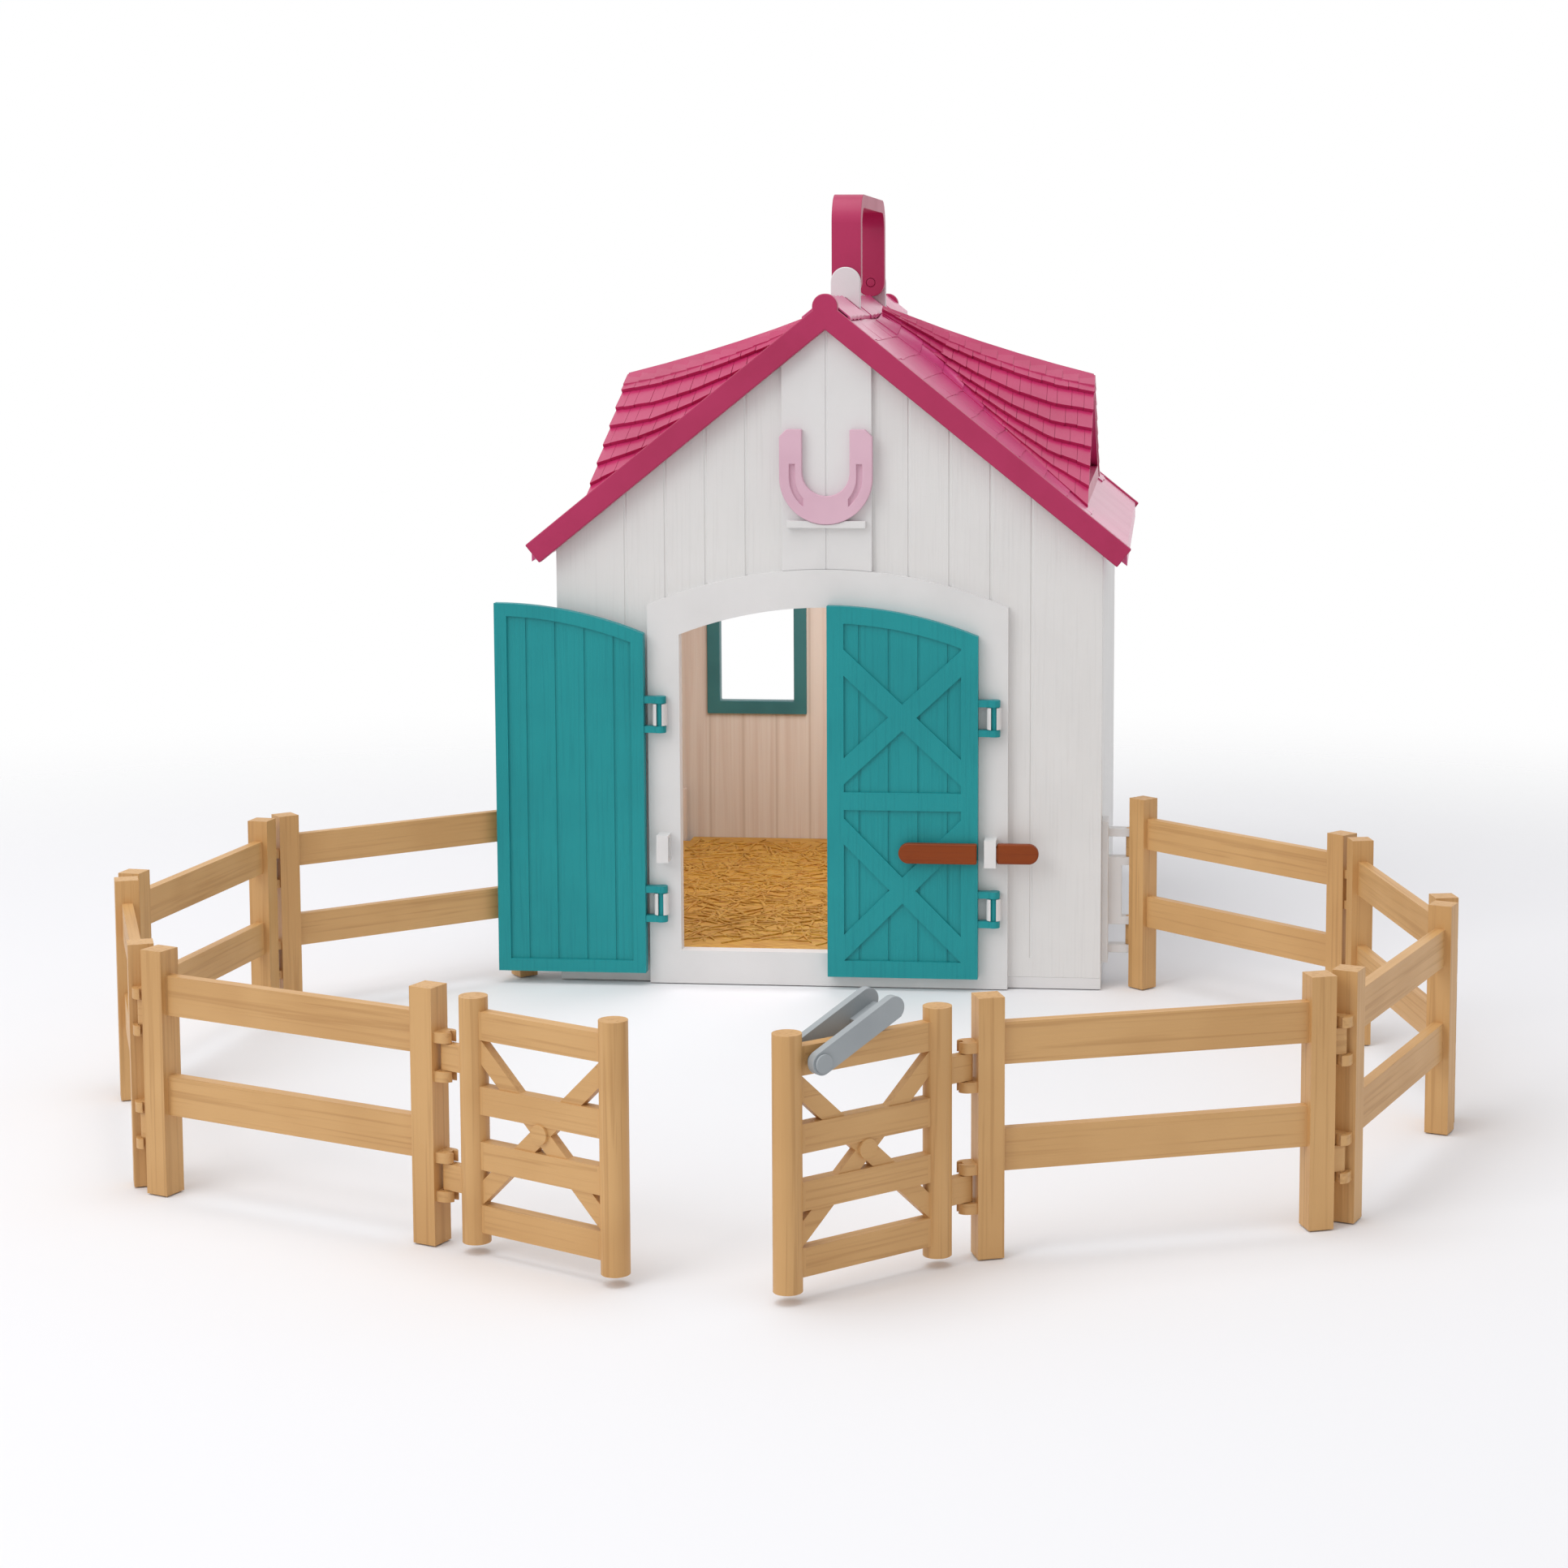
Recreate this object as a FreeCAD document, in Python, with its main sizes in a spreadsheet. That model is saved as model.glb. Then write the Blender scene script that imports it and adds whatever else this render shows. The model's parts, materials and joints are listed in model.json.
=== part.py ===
"""Toy horse stable with a clip-together corral, every piece at its real size in millimetres.

The stable stands on the ground at z = 0, with the middle of its base at the origin and
its doors facing -Y. The corral fence runs out from both side walls and closes at two gates.
"""
import FreeCAD, Part
import os
import re
import Sketcher

SIZES = {
    # Walls, base and floor
    "wall_width": 195,
    "wall_depth": 218,
    "wall_thick": 3,
    "base_thick": 4,
    "floor_thick": 8,
    "floor_gap": 0.3,
    "plank_pitch": 14.5,
    "plank_groove_width": 0.9,
    "plank_groove_depth": 0.35,
    "skirt_height": 7,
    # Corner bosses and the screws that hold the base
    "boss_radius": 4.5,
    "boss_height": 30,
    "boss_bite": 1,
    "screw_radius": 1.5,
    "screw_length": 14,
    "screw_head_radius": 3,
    "screw_head_height": 1.8,
    "screw_recess": 0.4,
    "screw_clearance": 0.1,
    # Roof
    "roof_top": 244,
    "roof_half_span": 106,
    "roof_rise": 85.5,
    "roof_thick": 6.6,
    "roof_depth": 222,
    "rake_thick": 4,
    "rake_width": 8,
    "rake_lip": 0.8,
    "rake_overhang": 1.5,
    "rake_knob_radius": 4.5,
    "ridge_cap_half": 8,
    "ridge_cap_thick": 1.6,
    # Cross gables on the roof slopes
    "dormer_start": 9,
    "dormer_end": 91,
    "dormer_start_half": 10,
    "dormer_flare_start": 33,
    "dormer_half_base": 88,
    "dormer_first_rise": 4.5,
    "dormer_apex_drop": 29,
    "dormer_sag": 1.5,
    "shingle_lip": 1.2,
    "dormer_wall_thick": 2,
    "dormer_wall_depth": 5,
    "dormer_wall_inset": 4,
    # Carrying handle, with its top measured up from the ridge cap
    "handle_width": 11,
    "handle_thick": 5,
    "handle_half_length": 46.5,
    "handle_top": 38.4,
    "handle_corner": 11,
    "handle_inner_corner": 7,
    "handle_pin_radius": 1.8,
    "lug_thick": 3,
    "lug_gap": 0.3,
    "lug_skin": 0.8,
    # Doorway and its raised surround
    "doorway_half": 53,
    "doorway_sill": 12,
    "doorway_top": 136.5,
    "doorway_arch_radius": 144,
    "surround_half": 64.4,
    "surround_top": 150,
    "surround_arch_radius": 165,
    "surround_thick": 3,
    # Doors
    "door_gap": 0.4,
    "door_lift": 4.4,
    "door_top": 137.5,
    "door_thick": 4,
    "door_stand": 0.3,
    "door_edge": 54,
    "door_recess": 0.9,
    "door_border": 6,
    "door_inner_border": 4.5,
    "door_plank_pitch": 10.5,
    "door_rail_centre": 68,
    "door_rail_height": 6.4,
    "door_brace_height": 9.4,
    "door_brace_top": 125,
    "left_door_open": 180,
    # Door hinges
    "hinge_axis_offset": 59.6,
    "hinge_high": 98,
    "hinge_low": 29.5,
    "hinge_height": 13,
    "hinge_arm_thick": 2.4,
    "hinge_arm_width": 3.2,
    "hinge_arm_bite": 2,
    "hinge_pin_radius": 1.4,
    "hinge_flange_radius": 2.2,
    "hinge_clip_radius": 2.6,
    "hinge_clip_mouth": 2,
    "pin_clearance": 0.06,
    "end_play": 0.25,
    # Sliding bolt
    "bolt_centre": 50,
    "bolt_height": 7.2,
    "bolt_back": 0.6,
    "bolt_front": 3.5,
    "bolt_tip": 3.2,
    "bolt_shoulder": 1.2,
    "bolt_end": 16,
    "bolt_tongue_height": 4.6,
    "bolt_travel": 6,
    "bolt_clearance": 0.3,
    "strap_inner": 3.2,
    "strap_outer": 1,
    "strap_front": 4.3,
    "strap_height": 9.8,
    "socket_start": 5.8,
    "socket_end": 33.6,
    "socket_thick": 3,
    # Gable panel and horseshoe
    "panel_half": 16,
    "panel_thick": 2,
    "panel_gap": 0.05,
    "panel_seam": 0.8,
    "ledge_height": 167.4,
    "ledge_thick": 2.6,
    "ledge_depth": 2.4,
    "shoe_centre": 182.6,
    "shoe_radius": 16.5,
    "shoe_band": 8,
    "shoe_toe_extra": 2,
    "shoe_seat_gap": 0.1,
    "shoe_heel_cut": 2.6,
    "shoe_leg": 17,
    "shoe_thick": 3,
    "shoe_groove_inset": 3.6,
    "shoe_groove_width": 2,
    "shoe_groove_depth": 1.2,
    "shoe_groove_start": 8,
    "shoe_groove_rise": 4.8,
    # Windows in the back wall
    "window_centre": 56.3,
    "window_low": 72,
    "window_height": 46,
    "window_width": 32.2,
    "window_frame": 5.5,
    "window_lining": 1.5,
    "window_flange": 1.6,
    "window_gap": 0.15,
    # Fence panels and their clip hinges
    "post_side": 7,
    "post_height": 68.5,
    "post_spacing": 91,
    "rail_thick": 3.2,
    "rail_height": 11,
    "rail_low": 22.5,
    "rail_high": 50.5,
    "tab_low": 18.4,
    "tab_high": 50.3,
    "tab_height": 7,
    "tab_thick": 2.8,
    "tab_reach": 6.5,
    "ear_reach": 5.5,
    "ear_thick": 2.8,
    "ear_radius": 2.7,
    "ear_mouth": 1.8,
    "clip_pin_radius": 1.3,
    "bracket_reach": 10,
    "bracket_setback": 10,
    "bracket_width": 12,
    "bracket_thick": 2.4,
    "bracket_low": 9,
    "bracket_high": 60,
    # Directions of the panels, turned forward from straight out of the wall
    "right_angle_first": 43,
    "right_angle_second": 78,
    "right_angle_third": 111,
    "right_angle_fourth": 160.5,
    "right_angle_gate": 138.5,
    "left_angle_first": 40,
    "left_angle_second": 82.5,
    "left_angle_third": 112.5,
    "left_angle_fourth": 157.5,
    "left_angle_gate": 152,
    # Gates
    "gate_post_radius": 3.75,
    "gate_post_low": 2.5,
    "gate_post_height": 65,
    "gate_tab_reach": 9.6,
    "gate_post_spacing": 46,
    "gate_rail_thick": 3.5,
    "gate_rail_height": 7.4,
    "gate_rail_bottom": 5.7,
    "gate_rail_second": 22.4,
    "gate_rail_third": 37,
    "gate_rail_top": 56.6,
    "gate_brace_height": 6.4,
    "gate_brace_thick": 2.6,
    "gate_hub_radius": 2.6,
    "gate_hub_thick": 4.4,
    # Throw-over latch on the right gate
    "latch_setback": 6.2,
    "latch_length": 27,
    "latch_height": 6,
    "latch_arm_thick": 2.4,
    "latch_inner_half": 4.3,
    "latch_web_start": 17,
    "latch_web_end": 25,
    "latch_web_thick": 2,
    "latch_pin_radius": 1.2,
    "latch_pin_head": 0.8,
    "latch_rest_angle": 26,
    # How far every cutting tool runs past the piece it cuts
    "overrun": 5,
}
DORMER_COURSES = 7
DORMER_SPANS = 4
COURSE_CROWDING = 1.8
AXIS_TURNS = {
    "x": FreeCAD.Rotation(FreeCAD.Vector(0, 1, 0), 90),
    "y": FreeCAD.Rotation(FreeCAD.Vector(1, 0, 0), -90),
    "z": FreeCAD.Rotation(),
}

DOC = FreeCAD.newDocument("toy_horse_stable")
SHEET = DOC.addObject("Spreadsheet::Sheet", "Sizes")
for row, (alias, value) in enumerate(SIZES.items(), 1):
    SHEET.set(f"A{row}", alias)
    SHEET.set(f"B{row}", str(value))
    SHEET.setAlias(f"B{row}", alias)
DOC.recompute()
PIECES = []


# Expressions and placing

def cells(expression):
    """The expression with every size name written as a cell of the sheet."""
    return re.sub(r"[a-z]\w*", lambda word: f"Sizes.{word[0]}" if word[0] in SIZES else word[0], expression)


def size(expression):
    """The number that an expression on the sheet gives now."""
    value = SHEET.evalExpression(cells(expression))
    return float(getattr(value, "Value", value))


def bind(target, **properties):
    for name, expression in properties.items():
        target.setExpression(name, cells(expression))


def place(target, x="0", y="0", z="0"):
    for axis, expression in zip("xyz", (x, y, z)):
        target.setExpression(f"Placement.Base.{axis}", cells(expression))


def sided(side, low, high):
    """A span on the positive side, or its mirror image on the negative side."""
    if side > 0:
        return (low, high)
    return (f"-({high})", f"-({low})")


def about(centre, width):
    """A span of the given width about a centre."""
    return (f"({centre}) - ({width}) / 2", f"({centre}) + ({width}) / 2")


def piece(solid, label):
    """Keep a solid as one separate piece of the toy under its own label."""
    solid.Label = label
    PIECES.append(solid)
    return solid


# Solids

def box(name, x, y, z):
    """A block that fills three spans, each a low and a high expression."""
    solid = DOC.addObject("Part::Box", name)
    for side_name, (low, high) in zip(("Length", "Width", "Height"), (x, y, z)):
        bind(solid, **{side_name: f"({high}) - ({low})"})
    place(solid, x[0], y[0], z[0])
    return solid


def rod(name, axis, centre, span, radius):
    """A cylinder along an axis, centred on the other two coordinates."""
    solid = DOC.addObject("Part::Cylinder", name)
    solid.Placement = FreeCAD.Placement(FreeCAD.Vector(), AXIS_TURNS[axis])
    bind(solid, Radius=radius, Height=f"({span[1]}) - ({span[0]})")
    start = list(centre)
    start.insert("xyz".index(axis), span[0])
    place(solid, *start)
    return solid


def fuse(name, *solids):
    result = DOC.addObject("Part::MultiFuse", name)
    result.Shapes = list(solids)
    return result


def cut(name, base, *tools):
    result = DOC.addObject("Part::Cut", name)
    result.Base = base
    result.Tool = tools[0] if len(tools) == 1 else fuse(f"{name}_tools", *tools)
    return result


def common(name, first, second):
    result = DOC.addObject("Part::MultiCommon", name)
    result.Shapes = [first, second]
    return result


def group(name, *solids):
    result = DOC.addObject("Part::Compound", name)
    result.Links = list(solids)
    return result


def outline(body, plane, corners):
    """A closed polygon sketch on a body's own plane, every corner driven by the sheet."""
    sketch = body.newObject("Sketcher::SketchObject", f"{body.Name}_outline")
    support = [feature for feature in body.Origin.OriginFeatures if feature.Role == plane]
    sketch.AttachmentSupport = [(support[0], "")]
    sketch.MapMode = "FlatFace"
    points = [FreeCAD.Vector(size(across), size(up), 0) for across, up in corners]
    count = len(points)
    for index, point in enumerate(points):
        sketch.addGeometry(Part.LineSegment(point, points[(index + 1) % count]))
    for index in range(count):
        sketch.addConstraint(Sketcher.Constraint("Coincident", index, 2, (index + 1) % count, 1))
    for index, (across, up) in enumerate(corners):
        for kind, expression in (("DistanceX", across), ("DistanceY", up)):
            number = sketch.addConstraint(
                Sketcher.Constraint(kind, -1, 1, index, 1, size(expression)))
            sketch.setExpression(f"Constraints[{number}]", cells(expression))
    return sketch


def prism(name, plane, corners, span):
    """A polygon in the XZ or YZ plane, padded over a span of the third axis."""
    body = DOC.addObject("PartDesign::Body", name)
    pad = body.newObject("PartDesign::Pad", f"{name}_pad")
    pad.Profile = outline(body, f"{plane}_Plane", corners)
    bind(pad, Length=f"({span[1]}) - ({span[0]})")
    if plane == "XZ":
        place(body, y=span[1])
    else:
        place(body, x=span[0])
    return body


# Lines of the roof, the walls and the door hinges, as expressions

SLOPE = "(roof_rise / roof_half_span)"
SLOPE_LENGTH = "sqrt(roof_rise ^ 2 + roof_half_span ^ 2)"
FRONT = "(-wall_depth / 2)"
SURROUND_FACE = f"({FRONT} - surround_thick)"
HINGE_Y = f"({SURROUND_FACE} - door_stand - door_thick / 2)"
INNER_HALF = "(wall_width / 2 - wall_thick)"
INNER_DEPTH = "(wall_depth / 2 - wall_thick)"
BOSS_X = f"({INNER_HALF} - boss_radius + boss_bite)"
BOSS_Y = f"({INNER_DEPTH} - boss_radius - floor_gap)"
CAP_TOP = "(roof_top + ridge_cap_thick)"
HANDLE_Z = f"({CAP_TOP} + handle_width / 2 + lug_gap)"
HANDLE_TOP = f"({CAP_TOP} + handle_top)"
HANDLE_UNDER = f"({HANDLE_TOP} - handle_thick)"
PANEL_FACE = f"({FRONT} - panel_thick)"


def roof_over(x):
    return f"(roof_top - {SLOPE} * ({x}))"


def roof_under(x):
    return f"(roof_top - roof_thick - {SLOPE} * ({x}))"


# Base, floor and walls

def corner_rods(name, span, radius):
    """Four upright cylinders, one on each corner boss."""
    return [
        rod(f"{name}_{side_x}_{side_y}".replace("-", "m"), "z",
            (f"{side_x} * {BOSS_X}", f"{side_y} * {BOSS_Y}"), span, radius)
        for side_x in (-1, 1)
        for side_y in (-1, 1)
    ]


def build_base():
    """The base plate, with recesses under it for the four screws."""
    head_top = "(screw_recess + screw_head_height)"
    plate = box("base_blank", about("0", "wall_width"), about("0", "wall_depth"), ("0", "base_thick"))
    holes = corner_rods("base_hole", ("-overrun", "base_thick + overrun"), "screw_radius + screw_clearance")
    recesses = corner_rods("base_recess", ("-overrun", head_top), "screw_head_radius + screw_clearance")
    piece(cut("base_cut", plate, *holes, *recesses), "base_plate")
    heads = corner_rods("screw_head", ("screw_recess", head_top), "screw_head_radius")
    shanks = corner_rods("screw_shank", ("screw_recess", f"{head_top} + screw_length"), "screw_radius")
    screws = [fuse(f"screw_{number}", *pair) for number, pair in enumerate(zip(heads, shanks), 1)]
    piece(group("screws", *screws), "base_screws")


def build_floor():
    """The straw floor, notched round the corner bosses."""
    half = f"({INNER_HALF} - floor_gap)"
    back = f"({INNER_DEPTH} - floor_gap)"
    notch = "(2 * boss_radius + 2 * floor_gap)"
    straw = box("straw_blank", about("0", f"2 * {half}"), about("0", f"2 * {back}"),
                ("base_thick", "base_thick + floor_thick"))
    notches = [
        box(f"straw_notch_{number}",
            sided(side, f"{half} - {notch}", f"{half} + overrun"),
            sided(end, f"{back} - {notch}", f"{back} + overrun"),
            ("0", "base_thick + floor_thick + overrun"))
        for number, (side, end) in enumerate(((-1, -1), (-1, 1), (1, -1), (1, 1)))
    ]
    piece(cut("straw_cut", straw, *notches), "straw_floor")


def plank_grooves(name, face, outward):
    """Upright grooves on the outer face of a gable wall, between its planks."""
    count = int(size("wall_width / plank_pitch / 2"))
    along = ("overrun", "plank_groove_depth") if outward < 0 else ("plank_groove_depth", "overrun")
    return [
        box(f"{name}_{number}",
            about(f"plank_pitch * ({number - count})", "plank_groove_width"),
            (f"{face} - {along[0]}", f"{face} + {along[1]}"),
            ("base_thick + skirt_height", "roof_top"))
        for number in range(2 * count + 1)
        if abs(number - count) < count
    ]


def gable_wall(name, span):
    """A wall with a pointed top that meets the underside of the roof."""
    half = "wall_width / 2"
    corners = [
        (f"-{half}", "base_thick"),
        (half, "base_thick"),
        (half, roof_under(half)),
        ("0", roof_under("0")),
        (f"-{half}", roof_under(half)),
    ]
    return prism(name, "XZ", corners, span)


def arched_block(name, half, low, top, radius, along):
    """A block with straight sides and a shallow round arch for its top."""
    block = box(f"{name}_block", about("0", f"2 * ({half})"), along, (low, f"{top} + overrun"))
    arch = rod(f"{name}_arch", "y", ("0", f"{top} - ({radius})"), along, radius)
    return common(name, block, arch)


def window_boxes(name, grow, along):
    """Both window shapes in the back wall, grown all round by an amount."""
    return [
        box(f"{name}_{number}",
            about(f"{side} * window_centre", f"window_width + 2 * ({grow})"), along,
            (f"window_low - ({grow})", f"window_low + window_height + ({grow})"))
        for number, side in enumerate((-1, 1))
    ]


def build_walls():
    """Front and back gable walls, and two side walls with the corner bosses inside."""
    outer = "wall_depth / 2"
    doorway = arched_block(
        "doorway", "doorway_half", "doorway_sill", "doorway_top", "doorway_arch_radius",
        (f"{SURROUND_FACE} - overrun", f"{FRONT} + wall_thick + overrun"))
    front = gable_wall("front_gable", (FRONT, f"{FRONT} + wall_thick"))
    piece(cut("front_cut", front, doorway, *plank_grooves("front_groove", FRONT, -1)), "front_wall")
    back = gable_wall("back_gable", (f"{outer} - wall_thick", outer))
    openings = window_boxes("window_hole", "window_lining", (INNER_DEPTH, f"{outer} + overrun"))
    piece(cut("back_cut", back, *openings, *plank_grooves("back_groove", outer, 1)), "back_wall")
    for side, word in ((-1, "left"), (1, "right")):
        build_side_wall(side, word)
    return doorway


def build_side_wall(side, word):
    outer = "wall_width / 2"
    corners = [
        (f"{side} * {INNER_HALF}", "base_thick"),
        (f"{side} * {outer}", "base_thick"),
        (f"{side} * {outer}", roof_under(outer)),
        (f"{side} * {INNER_HALF}", roof_under(INNER_HALF)),
    ]
    wall = prism(f"{word}_side", "XZ", corners, (f"-{INNER_DEPTH}", INNER_DEPTH))
    bosses = []
    bores = []
    for number, end in enumerate((-1, 1)):
        centre = (f"{side} * {BOSS_X}", f"{end} * {BOSS_Y}")
        bosses.append(rod(f"{word}_boss_{number}", "z", centre,
                          ("base_thick", "base_thick + boss_height"), "boss_radius"))
        bores.append(rod(f"{word}_bore_{number}", "z", centre,
                         ("0", "base_thick + screw_length + screw_clearance"),
                         "screw_radius + screw_clearance / 2"))
    count = int(size(f"{INNER_DEPTH} / plank_pitch"))
    grooves = [
        box(f"{word}_groove_{number}",
            sided(side, f"{outer} - plank_groove_depth", f"{outer} + overrun"),
            about(f"plank_pitch * ({number - count + 1})", "plank_groove_width"),
            ("base_thick + skirt_height", "roof_top"))
        for number in range(2 * count - 1)
    ]
    piece(cut(f"{word}_cut", fuse(f"{word}_bossed", wall, *bosses), *bores, *grooves), f"{word}_wall")


def build_windows():
    """Dark frames that line the open back windows."""
    outer = "wall_depth / 2"
    lining = "(window_lining - window_gap)"
    holes = window_boxes("pane", "0", (f"{INNER_DEPTH} - window_flange - overrun", f"{outer} + overrun"))
    sleeves = window_boxes("sleeve", lining, (f"{INNER_DEPTH} - window_flange", f"{outer} + window_flange"))
    flanges = window_boxes("flange", "window_frame", (f"{INNER_DEPTH} - window_flange", INNER_DEPTH))
    trims = window_boxes("trim", "window_frame", (outer, f"{outer} + window_flange"))
    for number, word in enumerate(("left", "right")):
        frame = fuse(f"{word}_frame", sleeves[number], flanges[number], trims[number])
        piece(cut(f"{word}_ring", frame, holes[number]), f"{word}_window_frame")


# Roof

def build_roof():
    """Two sloping slabs, their ridge cap, and a rake board over each gable."""
    for side, word in ((-1, "left"), (1, "right")):
        corners = [
            ("0", "roof_top"),
            (f"{side} * roof_half_span", roof_over("roof_half_span")),
            (f"{side} * roof_half_span", roof_under("roof_half_span")),
            ("0", roof_under("0")),
        ]
        piece(prism(f"{word}_slab", "XZ", corners, about("0", "roof_depth")), f"roof_{word}")
    cap = [
        ("-ridge_cap_half", roof_over("ridge_cap_half")),
        ("0", "roof_top"),
        ("ridge_cap_half", roof_over("ridge_cap_half")),
        ("ridge_cap_half", f"{roof_over('ridge_cap_half')} + ridge_cap_thick"),
        ("0", CAP_TOP),
        ("-ridge_cap_half", f"{roof_over('ridge_cap_half')} + ridge_cap_thick"),
    ]
    piece(prism("cap", "XZ", cap, about("0", "roof_depth")), "ridge_cap")
    edge = "roof_depth / 2"
    build_rake("front", (f"-{edge} - rake_thick", f"-{edge}"))
    build_rake("rear", (edge, f"{edge} + rake_thick"))


def build_rake(word, span):
    """A board along both slopes of a gable, cut square at its ends, with a round peak."""
    end = "(roof_half_span + rake_overhang)"
    drop = f"(rake_width * {SLOPE_LENGTH} / roof_half_span)"
    inner = f"({end} - rake_width * roof_rise / {SLOPE_LENGTH})"
    top = "(roof_top + rake_lip)"
    board = [
        (f"-{end}", f"{roof_over(end)} + rake_lip"),
        ("0", top),
        (end, f"{roof_over(end)} + rake_lip"),
        (inner, f"{roof_over(inner)} + rake_lip - {drop}"),
        ("0", f"{top} - {drop}"),
        (f"-{inner}", f"{roof_over(inner)} + rake_lip - {drop}"),
    ]
    chevron = prism(f"{word}_board", "XZ", board, span)
    knob = rod(f"{word}_knob", "y", ("0", f"{top} - rake_knob_radius / 2"), span, "rake_knob_radius")
    piece(fuse(f"{word}_peak", chevron, knob), f"{word}_rake")


def dormer_stations():
    """Where a cross gable's sections stand: at its start, where it begins to flare, and on to its end."""
    flare = size("dormer_flare_start")
    step = size("dormer_end - dormer_flare_start") / DORMER_SPANS
    return [size("dormer_start")] + [flare + step * number for number in range(DORMER_SPANS + 1)]


def dormer_section(x, side):
    """One upright section of a cross gable: a triangle whose two slopes rise in stepped courses.

    The foot spreads and the courses open out evenly from where the flare begins to the outer end.
    """
    station = (x - size("dormer_start")) / size("dormer_end - dormer_start")
    flared = max(0, x - size("dormer_flare_start")) / size("dormer_end - dormer_flare_start")
    low = size("roof_top") - size(SLOPE) * x
    first = size(f"{roof_over('dormer_start')} + dormer_first_rise")
    last = size("roof_top - dormer_apex_drop")
    apex = first + (last - first) * station - 4 * size("dormer_sag") * station * (1 - station)
    half = size("dormer_start_half") + size("dormer_half_base - dormer_start_half") * flared
    crowding = 1 + COURSE_CROWDING * (1 - flared)
    shares = [(course / DORMER_COURSES) ** crowding for course in range(DORMER_COURSES + 1)]
    slope = []
    for start, end in zip(shares, shares[1:]):
        lip = size("shingle_lip") * min(1, (end - start) * DORMER_COURSES)
        for share, rise in ((start, lip), (end, 0)):
            slope.append((half * (1 - share), low + (apex - low) * share + rise))
    slope[-1] = (0, apex + size("shingle_lip"))
    ring = [(-half, low), *[(-y, z) for y, z in slope], *reversed(slope[:-1]), (half, low)]
    points = [FreeCAD.Vector(side * x, y, z) for y, z in ring]
    return Part.makePolygon(points + points[:1])


def build_dormers():
    """A cross gable on each roof slope, swelling from the ridge out to a white end set back in it."""
    back = "(dormer_end - dormer_wall_depth)"
    foot = f"({roof_over(back)} + dormer_wall_inset / 2)"
    spread = "(dormer_half_base - 5 * dormer_wall_inset)"
    corners = [(f"-{spread}", foot), (spread, foot), ("0", "roof_top - dormer_apex_drop - dormer_wall_inset")]
    for side, word in ((-1, "left"), (1, "right")):
        shell = DOC.addObject("Part::Feature", f"{word}_dormer_shell")
        shell.Shape = Part.makeLoft([dormer_section(x, side) for x in dormer_stations()], True, True)
        hollow = prism(f"{word}_dormer_hollow", "YZ", corners, sided(side, back, "dormer_end + overrun"))
        piece(cut(f"{word}_dormer_cut", shell, hollow), f"dormer_{word}")
        span = sided(side, back, f"{back} + dormer_wall_thick")
        piece(prism(f"{word}_dormer_end", "YZ", corners, span), f"dormer_gable_{word}")


# Carrying handle

def round_off(body, feature, radius, chosen):
    """Round those edges of a body's feature that a test picks."""
    DOC.recompute()
    edges = [f"Edge{number}" for number, edge in enumerate(feature.Shape.Edges, 1) if chosen(edge)]
    fillet = body.newObject("PartDesign::Fillet", f"{feature.Name}_round")
    fillet.Base = (feature, edges)
    bind(fillet, Radius=radius)
    return fillet


def build_handle():
    """An arched strap on two pins, between round-topped lugs on the ridge."""
    outer = "handle_half_length"
    inner = "(handle_half_length - handle_thick)"
    heel = HANDLE_Z
    corners = [
        (f"-{outer}", heel), (f"-{outer}", HANDLE_TOP), (outer, HANDLE_TOP), (outer, heel),
        (inner, heel), (inner, HANDLE_UNDER), (f"-{inner}", HANDLE_UNDER), (f"-{inner}", heel),
    ]
    strap = prism("strap", "YZ", corners, about("0", "handle_width"))
    DOC.recompute()

    def at_height(height):
        return lambda edge: (
            abs(edge.BoundBox.ZMin - size(height)) < size("pin_clearance")
            and edge.BoundBox.ZLength < size("pin_clearance")
            and edge.BoundBox.YLength < size("pin_clearance"))

    outside = round_off(strap, strap.Tip, "handle_corner", at_height(HANDLE_TOP))
    round_off(strap, outside, "handle_inner_corner", at_height(HANDLE_UNDER))
    heels = []
    bores = []
    for side, word in ((-1, "front"), (1, "rear")):
        leg = sided(side, inner, outer)
        lug = sided(side, f"{outer} + lug_gap", f"{outer} + lug_gap + lug_thick")
        pin = sided(side, inner, f"{outer} + lug_gap + lug_thick - lug_skin")
        axis = ("0", heel)
        heels.append(rod(f"{word}_heel", "y", axis, leg, "handle_width / 2"))
        bores.append(rod(f"{word}_pin_bore", "y", axis, leg, "handle_pin_radius + pin_clearance"))
        build_lug(word, lug, pin)
        piece(rod(f"{word}_pin", "y", axis, pin, "handle_pin_radius"), f"handle_pin_{word}")
    piece(cut("handle_cut", fuse("handle_fused", strap, *heels), *bores), "carry_handle")


def build_lug(word, span, pin):
    """A white ear that stands astride the ridge cap, with a blind bore for one handle pin."""
    half = "(handle_width / 2)"
    foot = f"({roof_over(half)} + ridge_cap_thick)"
    corners = [
        (f"-{half}", foot), ("0", CAP_TOP), (half, foot),
        (half, HANDLE_Z), (f"-{half}", HANDLE_Z),
    ]
    ear = prism(f"{word}_ear", "XZ", corners, span)
    crown = rod(f"{word}_crown", "y", ("0", HANDLE_Z), span, half)
    bore = rod(f"{word}_lug_bore", "y", ("0", HANDLE_Z), pin, "handle_pin_radius")
    piece(cut(f"{word}_lug_cut", fuse(f"{word}_lug", ear, crown), bore), f"handle_lug_{word}")


# Door surround, gable panel and horseshoe

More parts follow.
